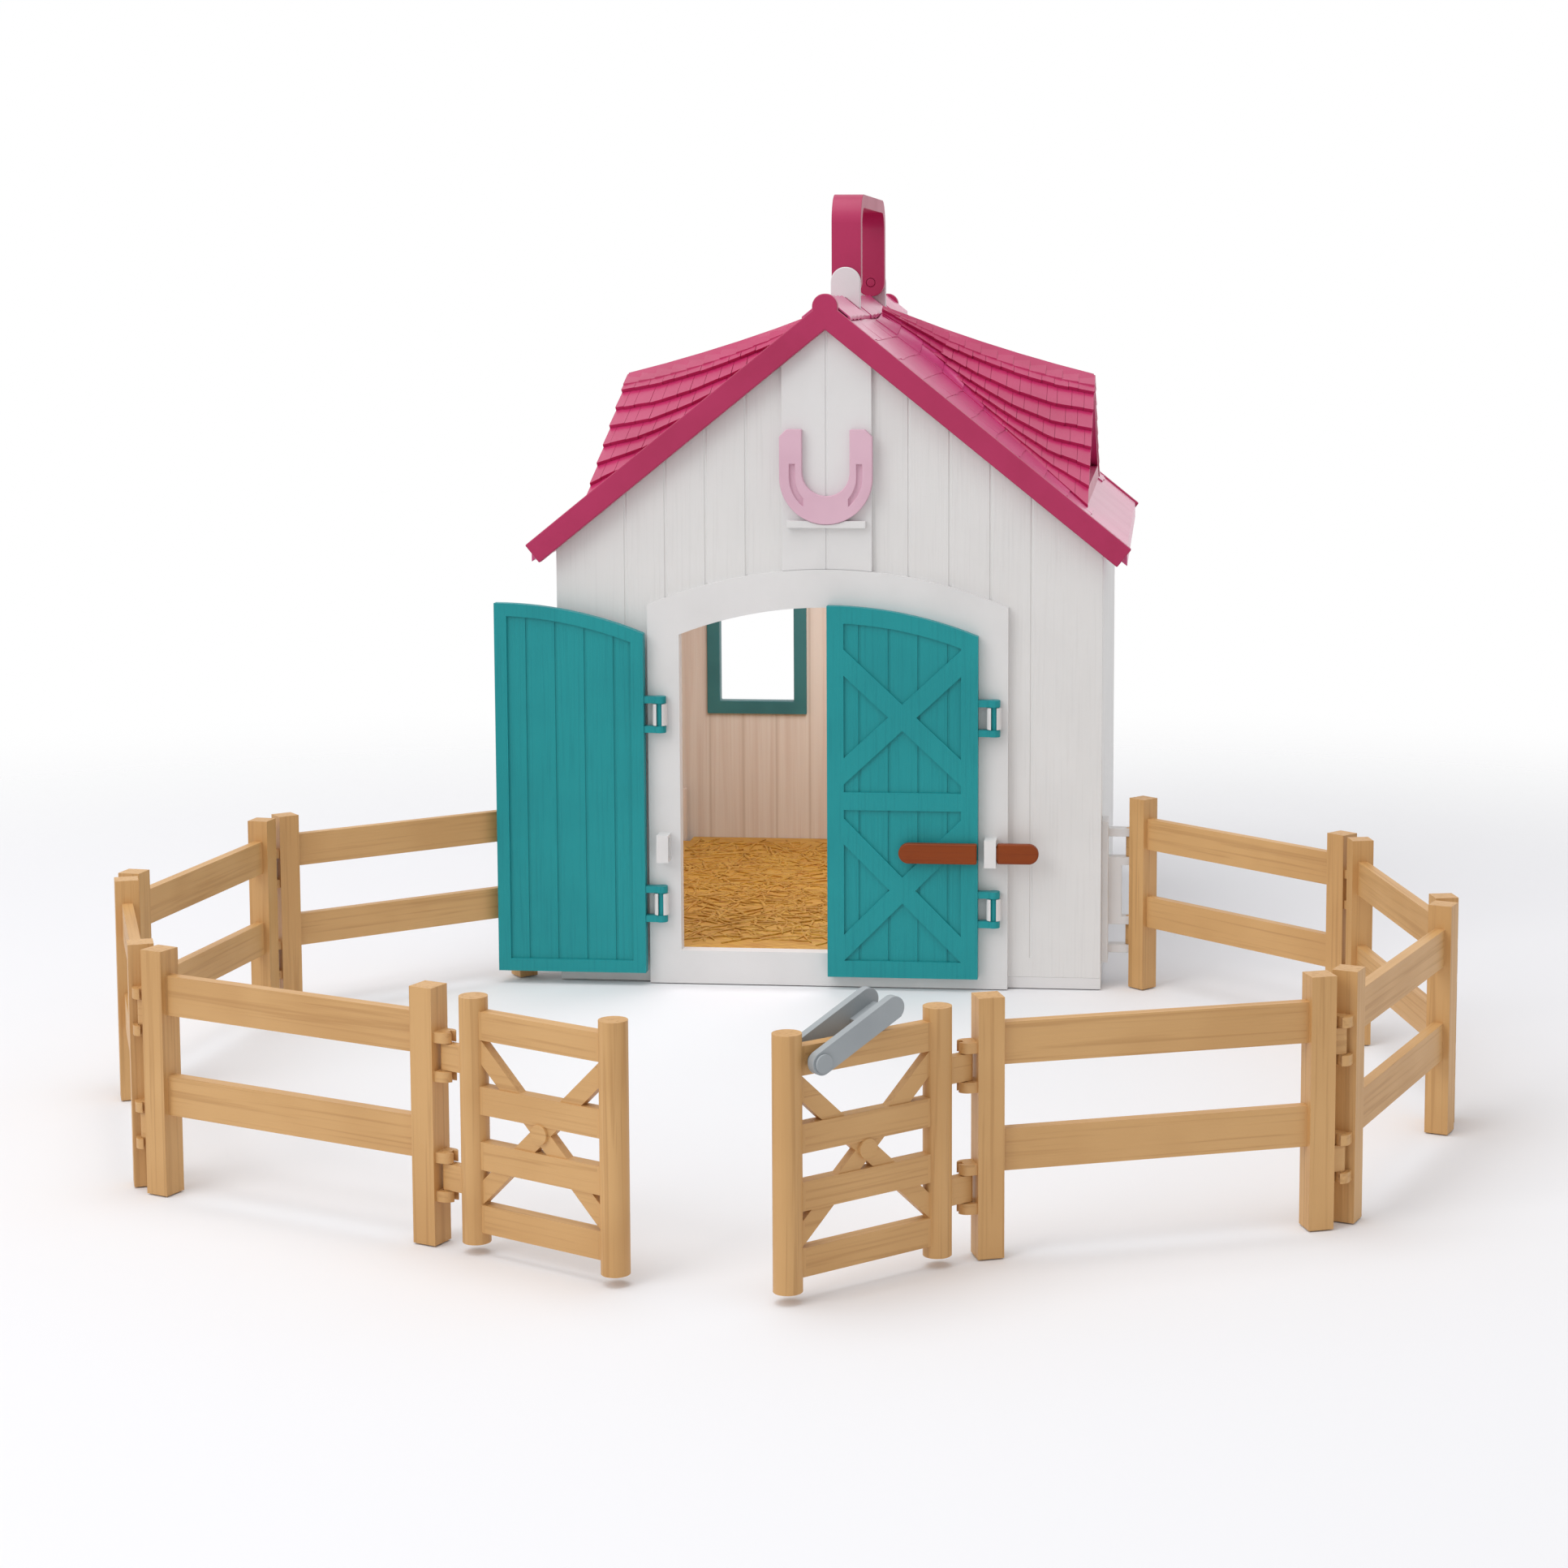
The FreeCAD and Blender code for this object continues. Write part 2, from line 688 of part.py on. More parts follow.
def build_surround(doorway):
    """The raised arch round the doorway, with hinge clips and bolt straps moulded on it."""
    along = (SURROUND_FACE, FRONT)
    arch = arched_block("surround", "surround_half", "0", "surround_top", "surround_arch_radius", along)
    solids = [cut("surround_open", arch, doorway)]
    bores = []
    for side, word in ((-1, "left"), (1, "right")):
        axis_x = f"({side} * hinge_axis_offset)"
        for level in ("high", "low"):
            clip, clip_bores = hinge_clip(f"{word}_{level}", axis_x, f"hinge_{level}")
            solids.extend(clip)
            bores.extend(clip_bores)
        solids.append(bolt_strap(side, word))
    piece(cut("surround_bored", fuse("surround_fused", *solids), *bores), "door_surround")


def hinge_clip(name, axis_x, level):
    """An open clip on the jamb that a door's hinge pin snaps into."""
    height = about(level, "hinge_height - 2 * hinge_arm_thick - 2 * end_play")
    knuckle = rod(f"{name}_knuckle", "z", (axis_x, HINGE_Y), height, "hinge_clip_radius")
    neck = box(f"{name}_neck", about(axis_x, "hinge_clip_radius"), (HINGE_Y, SURROUND_FACE), height)
    bore = rod(f"{name}_clip_bore", "z", (axis_x, HINGE_Y), height, "hinge_pin_radius + pin_clearance")
    mouth = box(f"{name}_mouth", about(axis_x, "hinge_clip_mouth"), (f"{HINGE_Y} - overrun", HINGE_Y), height)
    return [knuckle, neck], [bore, mouth]


def bolt_strap(side, word):
    """A staple on the jamb that guides the bolt."""
    axis_x = "hinge_axis_offset"
    across = sided(side, f"{axis_x} - strap_inner", f"{axis_x} + strap_outer")
    wide = sided(side, f"{axis_x} - strap_inner - overrun", f"{axis_x} + strap_outer + overrun")
    strap = box(f"{word}_strap", across, (f"{HINGE_Y} - strap_front", SURROUND_FACE),
                about("bolt_centre", "strap_height"))
    slot = box(f"{word}_slot", wide,
               (f"{HINGE_Y} - bolt_front - bolt_clearance", f"{HINGE_Y} - bolt_back + bolt_clearance"),
               about("bolt_centre", "bolt_height + 2 * bolt_clearance"))
    return cut(f"{word}_staple", strap, slot)


def build_gable_panel():
    """The raised centre panel of the front gable, its ledge, and the horseshoe on it."""
    foot = "(surround_top - panel_thick)"
    corners = [
        ("-panel_half", foot), ("panel_half", foot), ("panel_half", roof_under("panel_half")),
        ("0", roof_under("0")), ("-panel_half", roof_under("panel_half")),
    ]
    panel = prism("panel_blank", "XZ", corners, (PANEL_FACE, FRONT))
    seam = box("panel_seam_cut", about("0", "panel_seam"),
               (f"{PANEL_FACE} - overrun", f"{PANEL_FACE} + plank_groove_depth"),
               (f"{foot} - overrun", "roof_top"))
    arch = arched_block("panel_seat", "surround_half", "0", "surround_top + panel_gap",
                        "surround_arch_radius + panel_gap", (PANEL_FACE, FRONT))
    ledge = box("panel_ledge", about("0", "2 * panel_half - 2 * panel_thick"),
                (f"{PANEL_FACE} - ledge_depth", PANEL_FACE),
                ("ledge_height - ledge_thick", "ledge_height"))
    seat = rod("ledge_seat", "y", ("0", "shoe_centre"), (f"{PANEL_FACE} - ledge_depth", PANEL_FACE),
               "shoe_radius + shoe_seat_gap")
    seated = cut("ledge_cut", ledge, seat)
    piece(fuse("panel_fused", cut("panel_cut", panel, seam, arch), seated), "gable_panel")
    piece(horseshoe(), "horseshoe")


def horseshoe():
    """A round shoe with a broad toe, two straight heels and a nail groove along each branch."""
    along = (f"{PANEL_FACE} - shoe_thick", PANEL_FACE)
    groove = (f"{PANEL_FACE} - shoe_thick - overrun", f"{PANEL_FACE} - shoe_thick + shoe_groove_depth")
    inner = "(shoe_radius - shoe_band)"
    inner_centre = "(shoe_centre + shoe_toe_extra)"
    top = "(shoe_centre + shoe_leg)"
    below = ("shoe_centre - 2 * shoe_radius", "shoe_centre")
    centre = ("0", "shoe_centre")
    wide = about("0", "2 * shoe_radius")
    toe = common("shoe_toe", rod("shoe_outer", "y", centre, along, "shoe_radius"),
                 box("shoe_below", wide, along, below))
    heels = box("shoe_heels", wide, along, ("shoe_centre", top))
    gaps = [rod("shoe_inner", "y", ("0", inner_centre), along, inner),
            box("shoe_gap", about("0", f"2 * {inner}"), along, (inner_centre, f"{top} + overrun"))]
    groove_out = "(shoe_radius - shoe_groove_inset)"
    groove_in = f"({groove_out} - shoe_groove_width)"
    groove_ring = cut("shoe_groove_ring", rod("groove_outer", "y", centre, groove, groove_out),
                      rod("groove_inner", "y", centre, groove, groove_in))
    for number, side in enumerate((-1, 1)):
        half = box(f"groove_half_{number}", sided(side, "shoe_groove_start", "shoe_radius"), groove, below)
        gaps.append(common(f"groove_bend_{number}", groove_ring, half))
        gaps.append(box(f"groove_leg_{number}", sided(side, groove_in, groove_out), groove,
                        ("shoe_centre", "shoe_centre + shoe_groove_rise")))
        corner = [(f"{side} * (shoe_radius - shoe_heel_cut)", top), (f"{side} * shoe_radius", top),
                  (f"{side} * shoe_radius", f"{top} - shoe_heel_cut")]
        gaps.append(prism(f"shoe_corner_{number}", "XZ", corner, along))
    return cut("shoe_cut", fuse("shoe_fused", toe, heels), *gaps)


# Doors, each drawn about its own hinge axis with its free edge along +X

DOOR_FREE = "(hinge_axis_offset - door_gap)"
DOOR_NEAR = "(hinge_axis_offset - door_edge)"


def door_blank(name, inset, along):
    """The arched outline of a door leaf, drawn in on every side by an inset."""
    block = box(f"{name}_block", (f"{DOOR_NEAR} + ({inset})", f"{DOOR_FREE} - ({inset})"), along,
                (f"door_lift + ({inset})", "door_top + overrun"))
    arch = rod(f"{name}_arch", "y", ("hinge_axis_offset", "door_top - doorway_arch_radius"), along,
               f"doorway_arch_radius - ({inset})")
    return common(name, block, arch)


def door_grooves(name, outside):
    """Grooves between the planks on both recessed faces of a door."""
    face = "(door_thick / 2 - door_recess)"
    count = int(size(f"({DOOR_FREE} - {DOOR_NEAR}) / door_plank_pitch"))
    return [
        box(f"{name}_{number}_{'out' if facing > 0 else 'in'}",
            about(f"{DOOR_NEAR} + door_plank_pitch * {number}", "plank_groove_width"),
            sided(facing, f"{face} - plank_groove_depth", f"{face} + overrun"),
            ("0", "door_top"))
        for number in range(1, count + 1)
        for facing in (outside, -outside)
    ]


def door_braces(name, outside):
    """A middle rail and a cross of braces above and below it, on the outer face."""
    along = sided(outside, "0", "door_thick / 2")
    near = f"({DOOR_NEAR} + door_border / 2)"
    free = f"({DOOR_FREE} - door_border / 2)"
    rail_top = "(door_rail_centre + door_rail_height / 2)"
    rail_low = "(door_rail_centre - door_rail_height / 2)"
    solids = [box(f"{name}_rail", (near, free), along, (rail_low, rail_top))]
    fields = (("low", "door_lift + door_border / 2", rail_low), ("high", rail_top, "door_brace_top"))
    for level, low, high in fields:
        for lean, (start, end) in enumerate(((near, free), (free, near))):
            corners = [(start, low), (end, f"{high} - door_brace_height"), (end, high),
                       (start, f"{low} + door_brace_height")]
            solids.append(prism(f"{name}_brace_{level}_{lean}", "XZ", corners, along))
    return solids


def door_hinge(name, level):
    """One hinge of a door: two arms, a round flange on each, and the pin between them."""
    low = f"({level} - hinge_height / 2)"
    high = f"({level} + hinge_height / 2)"
    solids = [rod(f"{name}_pin", "z", ("0", "0"), (low, high), "hinge_pin_radius")]
    arms = (("foot", (low, f"{low} + hinge_arm_thick")), ("head", (f"{high} - hinge_arm_thick", high)))
    for word, span in arms:
        solids.append(box(f"{name}_{word}", ("0", f"{DOOR_NEAR} + hinge_arm_bite"),
                          about("0", "hinge_arm_width"), span))
        solids.append(rod(f"{name}_{word}_flange", "z", ("0", "0"), span, "hinge_flange_radius"))
    return solids


def build_door(word, side, outside, turn):
    """A door leaf hung on its axis: planks, a border on each face, braces and hinges."""
    half = "(door_thick / 2)"
    core = door_blank(f"{word}_core", "0", about("0", "door_thick - 2 * door_recess"))
    planks = cut(f"{word}_planks", core, *door_grooves(f"{word}_plank", outside))
    borders = []
    for facing, inset, face in ((outside, "door_border", "outer"), (-outside, "door_inner_border", "inner")):
        along = sided(facing, "0", half)
        borders.append(cut(f"{word}_{face}_border", door_blank(f"{word}_{face}_blank", "0", along),
                           door_blank(f"{word}_{face}_field", inset, along)))
    hinges = []
    for level in ("high", "low"):
        hinges.extend(door_hinge(f"{word}_{level}_hinge", f"hinge_{level}"))
    leaf = fuse(f"{word}_leaf", planks, *borders, *door_braces(word, outside), *hinges)
    home = FreeCAD.Placement(
        FreeCAD.Vector(side * size("hinge_axis_offset"), size(HINGE_Y), 0),
        FreeCAD.Rotation(FreeCAD.Vector(0, 0, 1), turn))
    return leaf, home


def build_doors():
    """The left door stands open against the wall and the right one is shut."""
    leaf, home = build_door("left_door", -1, -1, -size("left_door_open"))
    leaf.Placement = home
    piece(leaf, "left_door")
    leaf, home = build_door("right_door", 1, 1, 180)
    pocket = box("bolt_pocket",
                 (f"{DOOR_NEAR} - overrun", "hinge_axis_offset - door_edge + bolt_travel + bolt_tip"),
                 ("bolt_back - bolt_clearance", "bolt_front + bolt_clearance"),
                 about("bolt_centre", "bolt_tongue_height + 2 * bolt_clearance"))
    out = ("door_thick / 2", "door_thick / 2 + socket_thick")
    tip = "(socket_end - bolt_height / 2)"
    bar = fuse("socket_fused",
               box("socket_bar", ("socket_start", tip), out, about("bolt_centre", "bolt_height")),
               rod("socket_round", "y", (tip, "bolt_centre"), out, "bolt_height / 2"))
    for solid, label in ((leaf, "right_door"), (bar, "bolt_socket")):
        hollowed = cut(f"{label}_hollowed", solid, pocket)
        hollowed.Placement = home
        piece(hollowed, label)


def build_bolt():
    """The bolt in the right strap: a tongue for the door's socket, and a round-ended grip."""
    axis = "hinge_axis_offset"
    along = (f"{HINGE_Y} - bolt_front", f"{HINGE_Y} - bolt_back")
    end_round = "(bolt_height / 2)"
    tongue = box("bolt_tongue", (f"{axis} - bolt_tip", f"{axis} + bolt_shoulder"), along,
                 about("bolt_centre", "bolt_tongue_height"))
    grip = box("bolt_grip", (f"{axis} + bolt_shoulder", f"{axis} + bolt_end - {end_round}"), along,
               about("bolt_centre", "bolt_height"))
    end = rod("bolt_round", "y", (f"{axis} + bolt_end - {end_round}", "bolt_centre"), along, end_round)
    piece(fuse("bolt_fused", tongue, grip, end), "door_bolt")


# Corral: panels drawn from the pivot at their near end, with the next pivot along +X

PITCH = "(tab_reach + post_spacing + ear_reach)"
LEVELS = ("tab_low", "tab_high")


def tabs(name, post_face):
    """Two tabs that reach back to the pivot, each with a pin standing out above and below."""
    solids = []
    for level in LEVELS:
        span = about(level, "tab_height")
        pin = about(level, "tab_height + 2 * end_play + 2 * ear_thick")
        solids.append(box(f"{name}_{level}", ("0", post_face), about("0", "tab_thick"), span))
        solids.append(rod(f"{name}_{level}_knuckle", "z", ("0", "0"), span, "tab_thick / 2"))
        solids.append(rod(f"{name}_{level}_pin", "z", ("0", "0"), pin, "clip_pin_radius"))
    return solids


def ears(name, start, pivot):
    """Two pairs of open ears that clip over the pins of the next panel."""
    solids = []
    bores = []
    for level in LEVELS:
        for number, step in enumerate((-1, 1)):
            middle = f"({level} + {step} * (tab_height / 2 + end_play + ear_thick / 2))"
            span = about(middle, "ear_thick")
            tag = f"{name}_{level}_{number}"
            solids.append(box(f"{tag}_arm", (start, pivot), about("0", "2 * ear_radius"), span))
            solids.append(rod(f"{tag}_ear", "z", (pivot, "0"), span, "ear_radius"))
            bores.append(rod(f"{tag}_bore", "z", (pivot, "0"), span, "clip_pin_radius + pin_clearance"))
            bores.append(box(f"{tag}_mouth", (pivot, f"{pivot} + overrun"), about("0", "ear_mouth"), span))
    return solids, bores


def fence_panel(name):
    """Two square posts, two rails, tabs at the near end and ears at the far end."""
    far_post = "(tab_reach + post_spacing)"
    solids = [
        box(f"{name}_{word}_post", about(centre, "post_side"), about("0", "post_side"), ("0", "post_height"))
        for word, centre in (("near", "tab_reach"), ("far", far_post))
    ]
    for level in ("rail_low", "rail_high"):
        solids.append(box(f"{name}_{level}", ("tab_reach", far_post), about("0", "rail_thick"),
                          (level, f"{level} + rail_height")))
    ear_solids, bores = ears(name, far_post, PITCH)
    return cut(f"{name}_panel", fuse(f"{name}_fused", *solids, *tabs(name, "tab_reach"), *ear_solids), *bores)


def gate(name, with_latch_bore):
    """Two round posts, four rails and a pair of crossed braces with a hub."""
    far_post = "(gate_tab_reach + gate_post_spacing)"
    up = ("gate_post_low", "gate_post_low + gate_post_height")
    solids = [rod(f"{name}_{word}_post", "z", (centre, "0"), up, "gate_post_radius")
              for word, centre in (("near", "gate_tab_reach"), ("far", far_post))]
    for level in ("bottom", "second", "third", "top"):
        solids.append(box(f"{name}_{level}", ("gate_tab_reach", far_post), about("0", "gate_rail_thick"),
                          (f"gate_rail_{level}", f"gate_rail_{level} + gate_rail_height")))
    low = "(gate_rail_bottom + gate_rail_height)"
    high = "gate_rail_top"
    for lean, (start, end) in enumerate((("gate_tab_reach", far_post), (far_post, "gate_tab_reach"))):
        corners = [(start, f"{low} - gate_brace_height / 2"), (end, f"{high} - gate_brace_height / 2"),
                   (end, f"{high} + gate_brace_height / 2"), (start, f"{low} + gate_brace_height / 2")]
        solids.append(prism(f"{name}_brace_{lean}", "XZ", corners, about("0", "gate_brace_thick")))
    solids.append(rod(f"{name}_hub", "y", ("gate_tab_reach + gate_post_spacing / 2", f"({low} + {high}) / 2"),
                      about("0", "gate_hub_thick"), "gate_hub_radius"))
    leaf = fuse(f"{name}_fused", *solids, *tabs(name, "gate_tab_reach"))
    if not with_latch_bore:
        return leaf
    bore = rod(f"{name}_latch_bore", "y", (LATCH_X, LATCH_Z), about("0", "2 * gate_post_radius"),
               "latch_pin_radius + pin_clearance")
    return cut(f"{name}_bored", leaf, bore)


LATCH_X = "(gate_tab_reach + gate_post_spacing - latch_setback)"
LATCH_Z = "(gate_rail_top + gate_rail_height / 2)"


def latch_loop():
    """Two arms joined by a web, drawn from the pivot with the arms along +X."""
    round_end = "(latch_height / 2)"
    outer = "(latch_inner_half + latch_arm_thick)"
    solids = []
    for side, word in ((-1, "front"), (1, "rear")):
        along = sided(side, "latch_inner_half", outer)
        solids.append(box(f"latch_{word}", ("0", f"latch_length - {round_end}"), along,
                          about("0", "latch_height")))
        solids.append(rod(f"latch_{word}_heel", "y", ("0", "0"), along, round_end))
        solids.append(rod(f"latch_{word}_nose", "y", (f"latch_length - {round_end}", "0"), along, round_end))
    solids.append(box("latch_web", ("latch_web_start", "latch_web_end"), about("0", f"2 * {outer}"),
                      ("latch_height / 2 - latch_web_thick", "latch_height / 2")))
    bore = rod("latch_bore", "y", ("0", "0"), about("0", f"2 * {outer}"), "latch_pin_radius")
    pin = [rod("latch_pin_shank", "y", ("0", "0"), about("0", f"2 * {outer}"), "latch_pin_radius")]
    for side, word in ((-1, "front"), (1, "rear")):
        head = sided(side, outer, f"{outer} + latch_pin_head")
        pin.append(rod(f"latch_pin_{word}", "y", ("0", "0"), head, "2 * latch_pin_radius"))
    return cut("latch_cut", fuse("latch_fused", *solids), bore), fuse("latch_pin_fused", *pin)


def build_bracket(side, word):
    """A white plate on a side wall, with the ears that carry the first fence panel."""
    plate = box(f"{word}_bracket_plate", ("0", "bracket_thick"), about("0", "bracket_width"),
                ("bracket_low", "bracket_high"))
    ear_solids, bores = ears(f"{word}_bracket", "0", "bracket_reach")
    clear = "(tab_height / 2 + end_play + ear_thick)"
    block = box(f"{word}_bracket_block", ("0", "bracket_reach - tab_thick"), about("0", "2 * ear_radius"),
                (f"tab_low + {clear}", f"tab_high - {clear}"))
    bracket = cut(f"{word}_bracket_cut", fuse(f"{word}_bracket_fused", plate, block, *ear_solids), *bores)
    bracket.Placement = FreeCAD.Placement(
        FreeCAD.Vector(side * size("wall_width / 2"), size(f"{FRONT} + bracket_setback"), 0),
        FreeCAD.Rotation(FreeCAD.Vector(0, 0, 1), 0 if side > 0 else 180))
    piece(bracket, f"fence_bracket_{word}")


def heading(side, angle):
    """Turn a panel forward from straight out of its wall."""
    turned = -angle if side > 0 else 180 + angle
    return FreeCAD.Rotation(FreeCAD.Vector(0, 0, 1), turned)


def build_corral():
    """On each side a chain of four panels from the wall, ending in a gate."""
    for side, word in ((-1, "left"), (1, "right")):
        build_bracket(side, word)
        pivot = FreeCAD.Vector(
            side * size("wall_width / 2 + bracket_reach"), size(f"{FRONT} + bracket_setback"), 0)
        for number, order in enumerate(("first", "second", "third", "fourth"), 1):
            turn = heading(side, size(f"{word}_angle_{order}"))
            panel = fence_panel(f"{word}_{order}")
            panel.Placement = FreeCAD.Placement(pivot, turn)
            piece(panel, f"fence_{word}_{number}")
            pivot = pivot + turn.multVec(FreeCAD.Vector(size(PITCH), 0, 0))
        leaf = gate(f"{word}_gate", side > 0)
        leaf.Placement = FreeCAD.Placement(pivot, heading(side, size(f"{word}_angle_gate")))
        piece(leaf, f"gate_{word}")
        if side > 0:
            build_latch(leaf.Placement)


def build_latch(gate_place):
    """The loop leans back over the right gate's top rail, on its own pin."""
    lean = FreeCAD.Rotation(FreeCAD.Vector(0, 1, 0), size("latch_rest_angle") - 180)
    seat = FreeCAD.Placement(FreeCAD.Vector(size(LATCH_X), 0, size(LATCH_Z)), lean)
    loop, pin = latch_loop()
    for solid, label in ((loop, "gate_latch"), (pin, "gate_latch_pin")):
        solid.Placement = gate_place.multiply(seat)
        piece(solid, label)


def write_pieces():
    """Write every piece to its own file, once the whole document is sound."""
    DOC.recompute()
    failed = [item.Name for item in DOC.Objects if {"Invalid", "Error"} & set(item.State)]
    unsound = [item.Label for item in PIECES if item.Shape.isNull() or not item.Shape.isValid()]
    if failed or unsound:
        raise RuntimeError(f"failed objects {failed}, unsound pieces {unsound}")
    os.makedirs("parts", exist_ok=True)
    for item in PIECES:
        item.Shape.exportStep(f"parts/{item.Label}.step")
    print(len(PIECES), "pieces written")


build_base()
build_floor()
build_surround(build_walls())
build_windows()
build_roof()
build_dormers()
build_handle()
build_gable_panel()
build_doors()
build_bolt()
build_corral()
write_pieces()
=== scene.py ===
"""Toy stable with its corral: finishes, roof shingles, straw, lights and the camera, in metres."""
import bmesh
import bpy
import json
import math
import random
from mathutils import Matrix, Vector


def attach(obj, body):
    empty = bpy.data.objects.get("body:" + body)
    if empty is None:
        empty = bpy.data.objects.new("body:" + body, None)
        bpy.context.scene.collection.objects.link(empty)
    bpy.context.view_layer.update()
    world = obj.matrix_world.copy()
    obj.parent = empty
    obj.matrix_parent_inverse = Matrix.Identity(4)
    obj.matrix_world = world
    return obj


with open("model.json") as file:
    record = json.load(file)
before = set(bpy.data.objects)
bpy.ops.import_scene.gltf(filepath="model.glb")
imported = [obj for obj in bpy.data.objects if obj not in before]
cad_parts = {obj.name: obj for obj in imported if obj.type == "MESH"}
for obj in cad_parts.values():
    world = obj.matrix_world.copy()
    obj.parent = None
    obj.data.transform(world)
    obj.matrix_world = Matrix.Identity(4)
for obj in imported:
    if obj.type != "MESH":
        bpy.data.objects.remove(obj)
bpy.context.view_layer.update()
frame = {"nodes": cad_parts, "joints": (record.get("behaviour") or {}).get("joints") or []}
NODES = frame["nodes"]

# Directions, and a factor that leaves out the height
ACROSS = (1, 0, 0)
INWARD = (0, 1, 0)
UPRIGHT = (0, 0, 1)
IN_PLAN = Vector((1, 1, 0))

# Roof sizes, the same as in the solids
ROOF_TOP = 0.244
ROOF_RISE = 0.0855
ROOF_HALF_SPAN = 0.106
ROOF_SLOPE = ROOF_RISE / ROOF_HALF_SPAN
ROOF_BACK = 0.111
ROOF_FRONT = -ROOF_BACK
RIDGE_CAP_HALF = 0.008
RIDGE_CAP_THICK = 0.0016
DORMER_START = 0.009
DORMER_FLARE_START = 0.033
DORMER_END = 0.091
DORMER_START_HALF = 0.010
DORMER_END_HALF = 0.088
DORMER_SPANS = 4
DORMER_FIRST_RISE = 0.0045
DORMER_APEX = 0.215
DORMER_SAG = 0.0015
DORMER_COURSES = 7
COURSE_CROWDING = 1.8
COURSE_LIP = 0.0012

# Walls and fences
INNER_HALF_WIDTH = 0.0945
INNER_HALF_DEPTH = 0.106
INNER_MARGIN = 0.0003
PLANK_PITCH = 0.0145
BOARD_JOINT = 0.0009
FENCE_PANELS = 4
POST_NEAR = 0.0065
POST_SPACING = 0.091
GATE_POST_NEAR = 0.0096
GATE_POST_SPACING = 0.046
UPRIGHT_GRAIN_HALF = 0.0042

# Shingles of the cross gables and of the main slopes
SHINGLE_STAND = 0.0004
SHINGLE_ROOT = 0.0004
SHINGLE_GAP = 0.00004
SHINGLE_EDGE = 0.00008
SHINGLE_LEAST_WIDTH = 0.002
DORMER_SHINGLES = 16
DORMER_SHINGLE_STAGGER_SHARE = 0.5
DORMER_SHINGLE_WANDER_SHARE = 0.14
DORMER_SHINGLE_HANG_SHARE = 0.05
DORMER_SHINGLE_UNEVEN = 0.00012
DORMER_SHINGLE_BACK = 0.0003
DORMER_SHINGLE_OVERHANG = 0.0004
DORMER_SHINGLE_LEAST_LENGTH = 0.0007
DORMER_SHINGLE_SEED = 11
ROOF_COURSES = 10
ROOF_COURSE_MARGIN = 0.0015
ROOF_COURSE_END = DORMER_END + ROOF_COURSE_MARGIN
ROOF_COURSE_STEP = (ROOF_COURSE_END - RIDGE_CAP_HALF) / ROOF_COURSES
ROOF_SHINGLE_WIDTHS = (0.012, 0.017)
ROOF_SHINGLE_STAGGER = 0.006
ROOF_SHINGLE_UNEVEN = 0.0002
ROOF_SHINGLE_HANG = 0.0006
ROOF_SHINGLE_BACK = 0.0002
ROOF_SHINGLE_TUCK = 0.001
ROOF_SHINGLE_SEED = 31

# Courses that sweep over the valleys
SWEEP_COURSES = 6
SWEEP_END = RIDGE_CAP_HALF + ROOF_COURSE_STEP * SWEEP_COURSES
SWEEP_REACH = 0.016
SWEEP_START_SHARE = 1.06
SWEEP_LAP_SHARE = 1.04
SWEEP_STEPS = 8
SWEEP_UPPER_RISE = 0.0007
SWEEP_LOWER_RISE = 0.0014
SWEEP_THICK = 0.0025

# Folded tiles of the ridges
TILE_RISES = (0.0003, 0.0009)
TILE_OVERHANG = 0.0006
DORMER_TILES = 13
DORMER_TILE_LAP_SHARE = 1.12
DORMER_TILE_FOOT_SHARE = 0.9
DORMER_TILE_FOOT_RISE_SHARE = 0.7
DORMER_TILE_FOOT_GAP = 0.0006
DORMER_TILE_FOOT_STAND = COURSE_LIP / 2 + DORMER_TILE_FOOT_GAP
DORMER_TILE_THICK = 0.0022
RIDGE_TILES = 18
RIDGE_TILE_PITCH = 0.0123
RIDGE_TILE_LAP_SHARE = 1.06
RIDGE_TILE_THICK = 0.0014
RIDGE_FREE_NEAR = 0.040
RIDGE_FREE_FAR = 0.0515

# Straw on the floor
FLOOR_TOP = 0.012
STRAW_HALF_WIDTH = 0.083
STRAW_HALF_DEPTH = 0.093
STRAW_SEED = 5
STALKS = 1500
STALK_LENGTHS = (0.008, 0.024)
STALK_HALVES = (0.00035, 0.0006)
STALK_LIFTS = (-0.0001, 0.00035)
STALK_BOW = 0.0015
STALK_RINGS = 5
STALK_SIDES = 4
STALK_TIP_SHARE = 0.35
STALK_BLUNT_SHARE = 0.08
STALK_WIDE_SHARE = 1.4
STALK_HIGH_SHARE = 1.2

# Moulded surfaces and edges
MOULD_TEXTURE_SHARE = 0.25
MOULD_ROUGH_SPREAD = 0.12
FINE_EDGE = 0.0002
PANEL_EDGE = 0.0003
TRIM_EDGE = 0.0004
RAIL_EDGE = 0.0005
ROUND_EDGE = 0.0006
GRIP_EDGE = 0.0015
EDGE_SEGMENTS = 2
WELD_GAP = 0.00001
FLAT_ANGLE = math.radians(0.6)
SOLID_EDGE_ANGLE = math.radians(38)
SOLID_EVENNESS = 80
PIECE_EDGE_ANGLE = math.radians(30)
PIECE_EVENNESS = 50

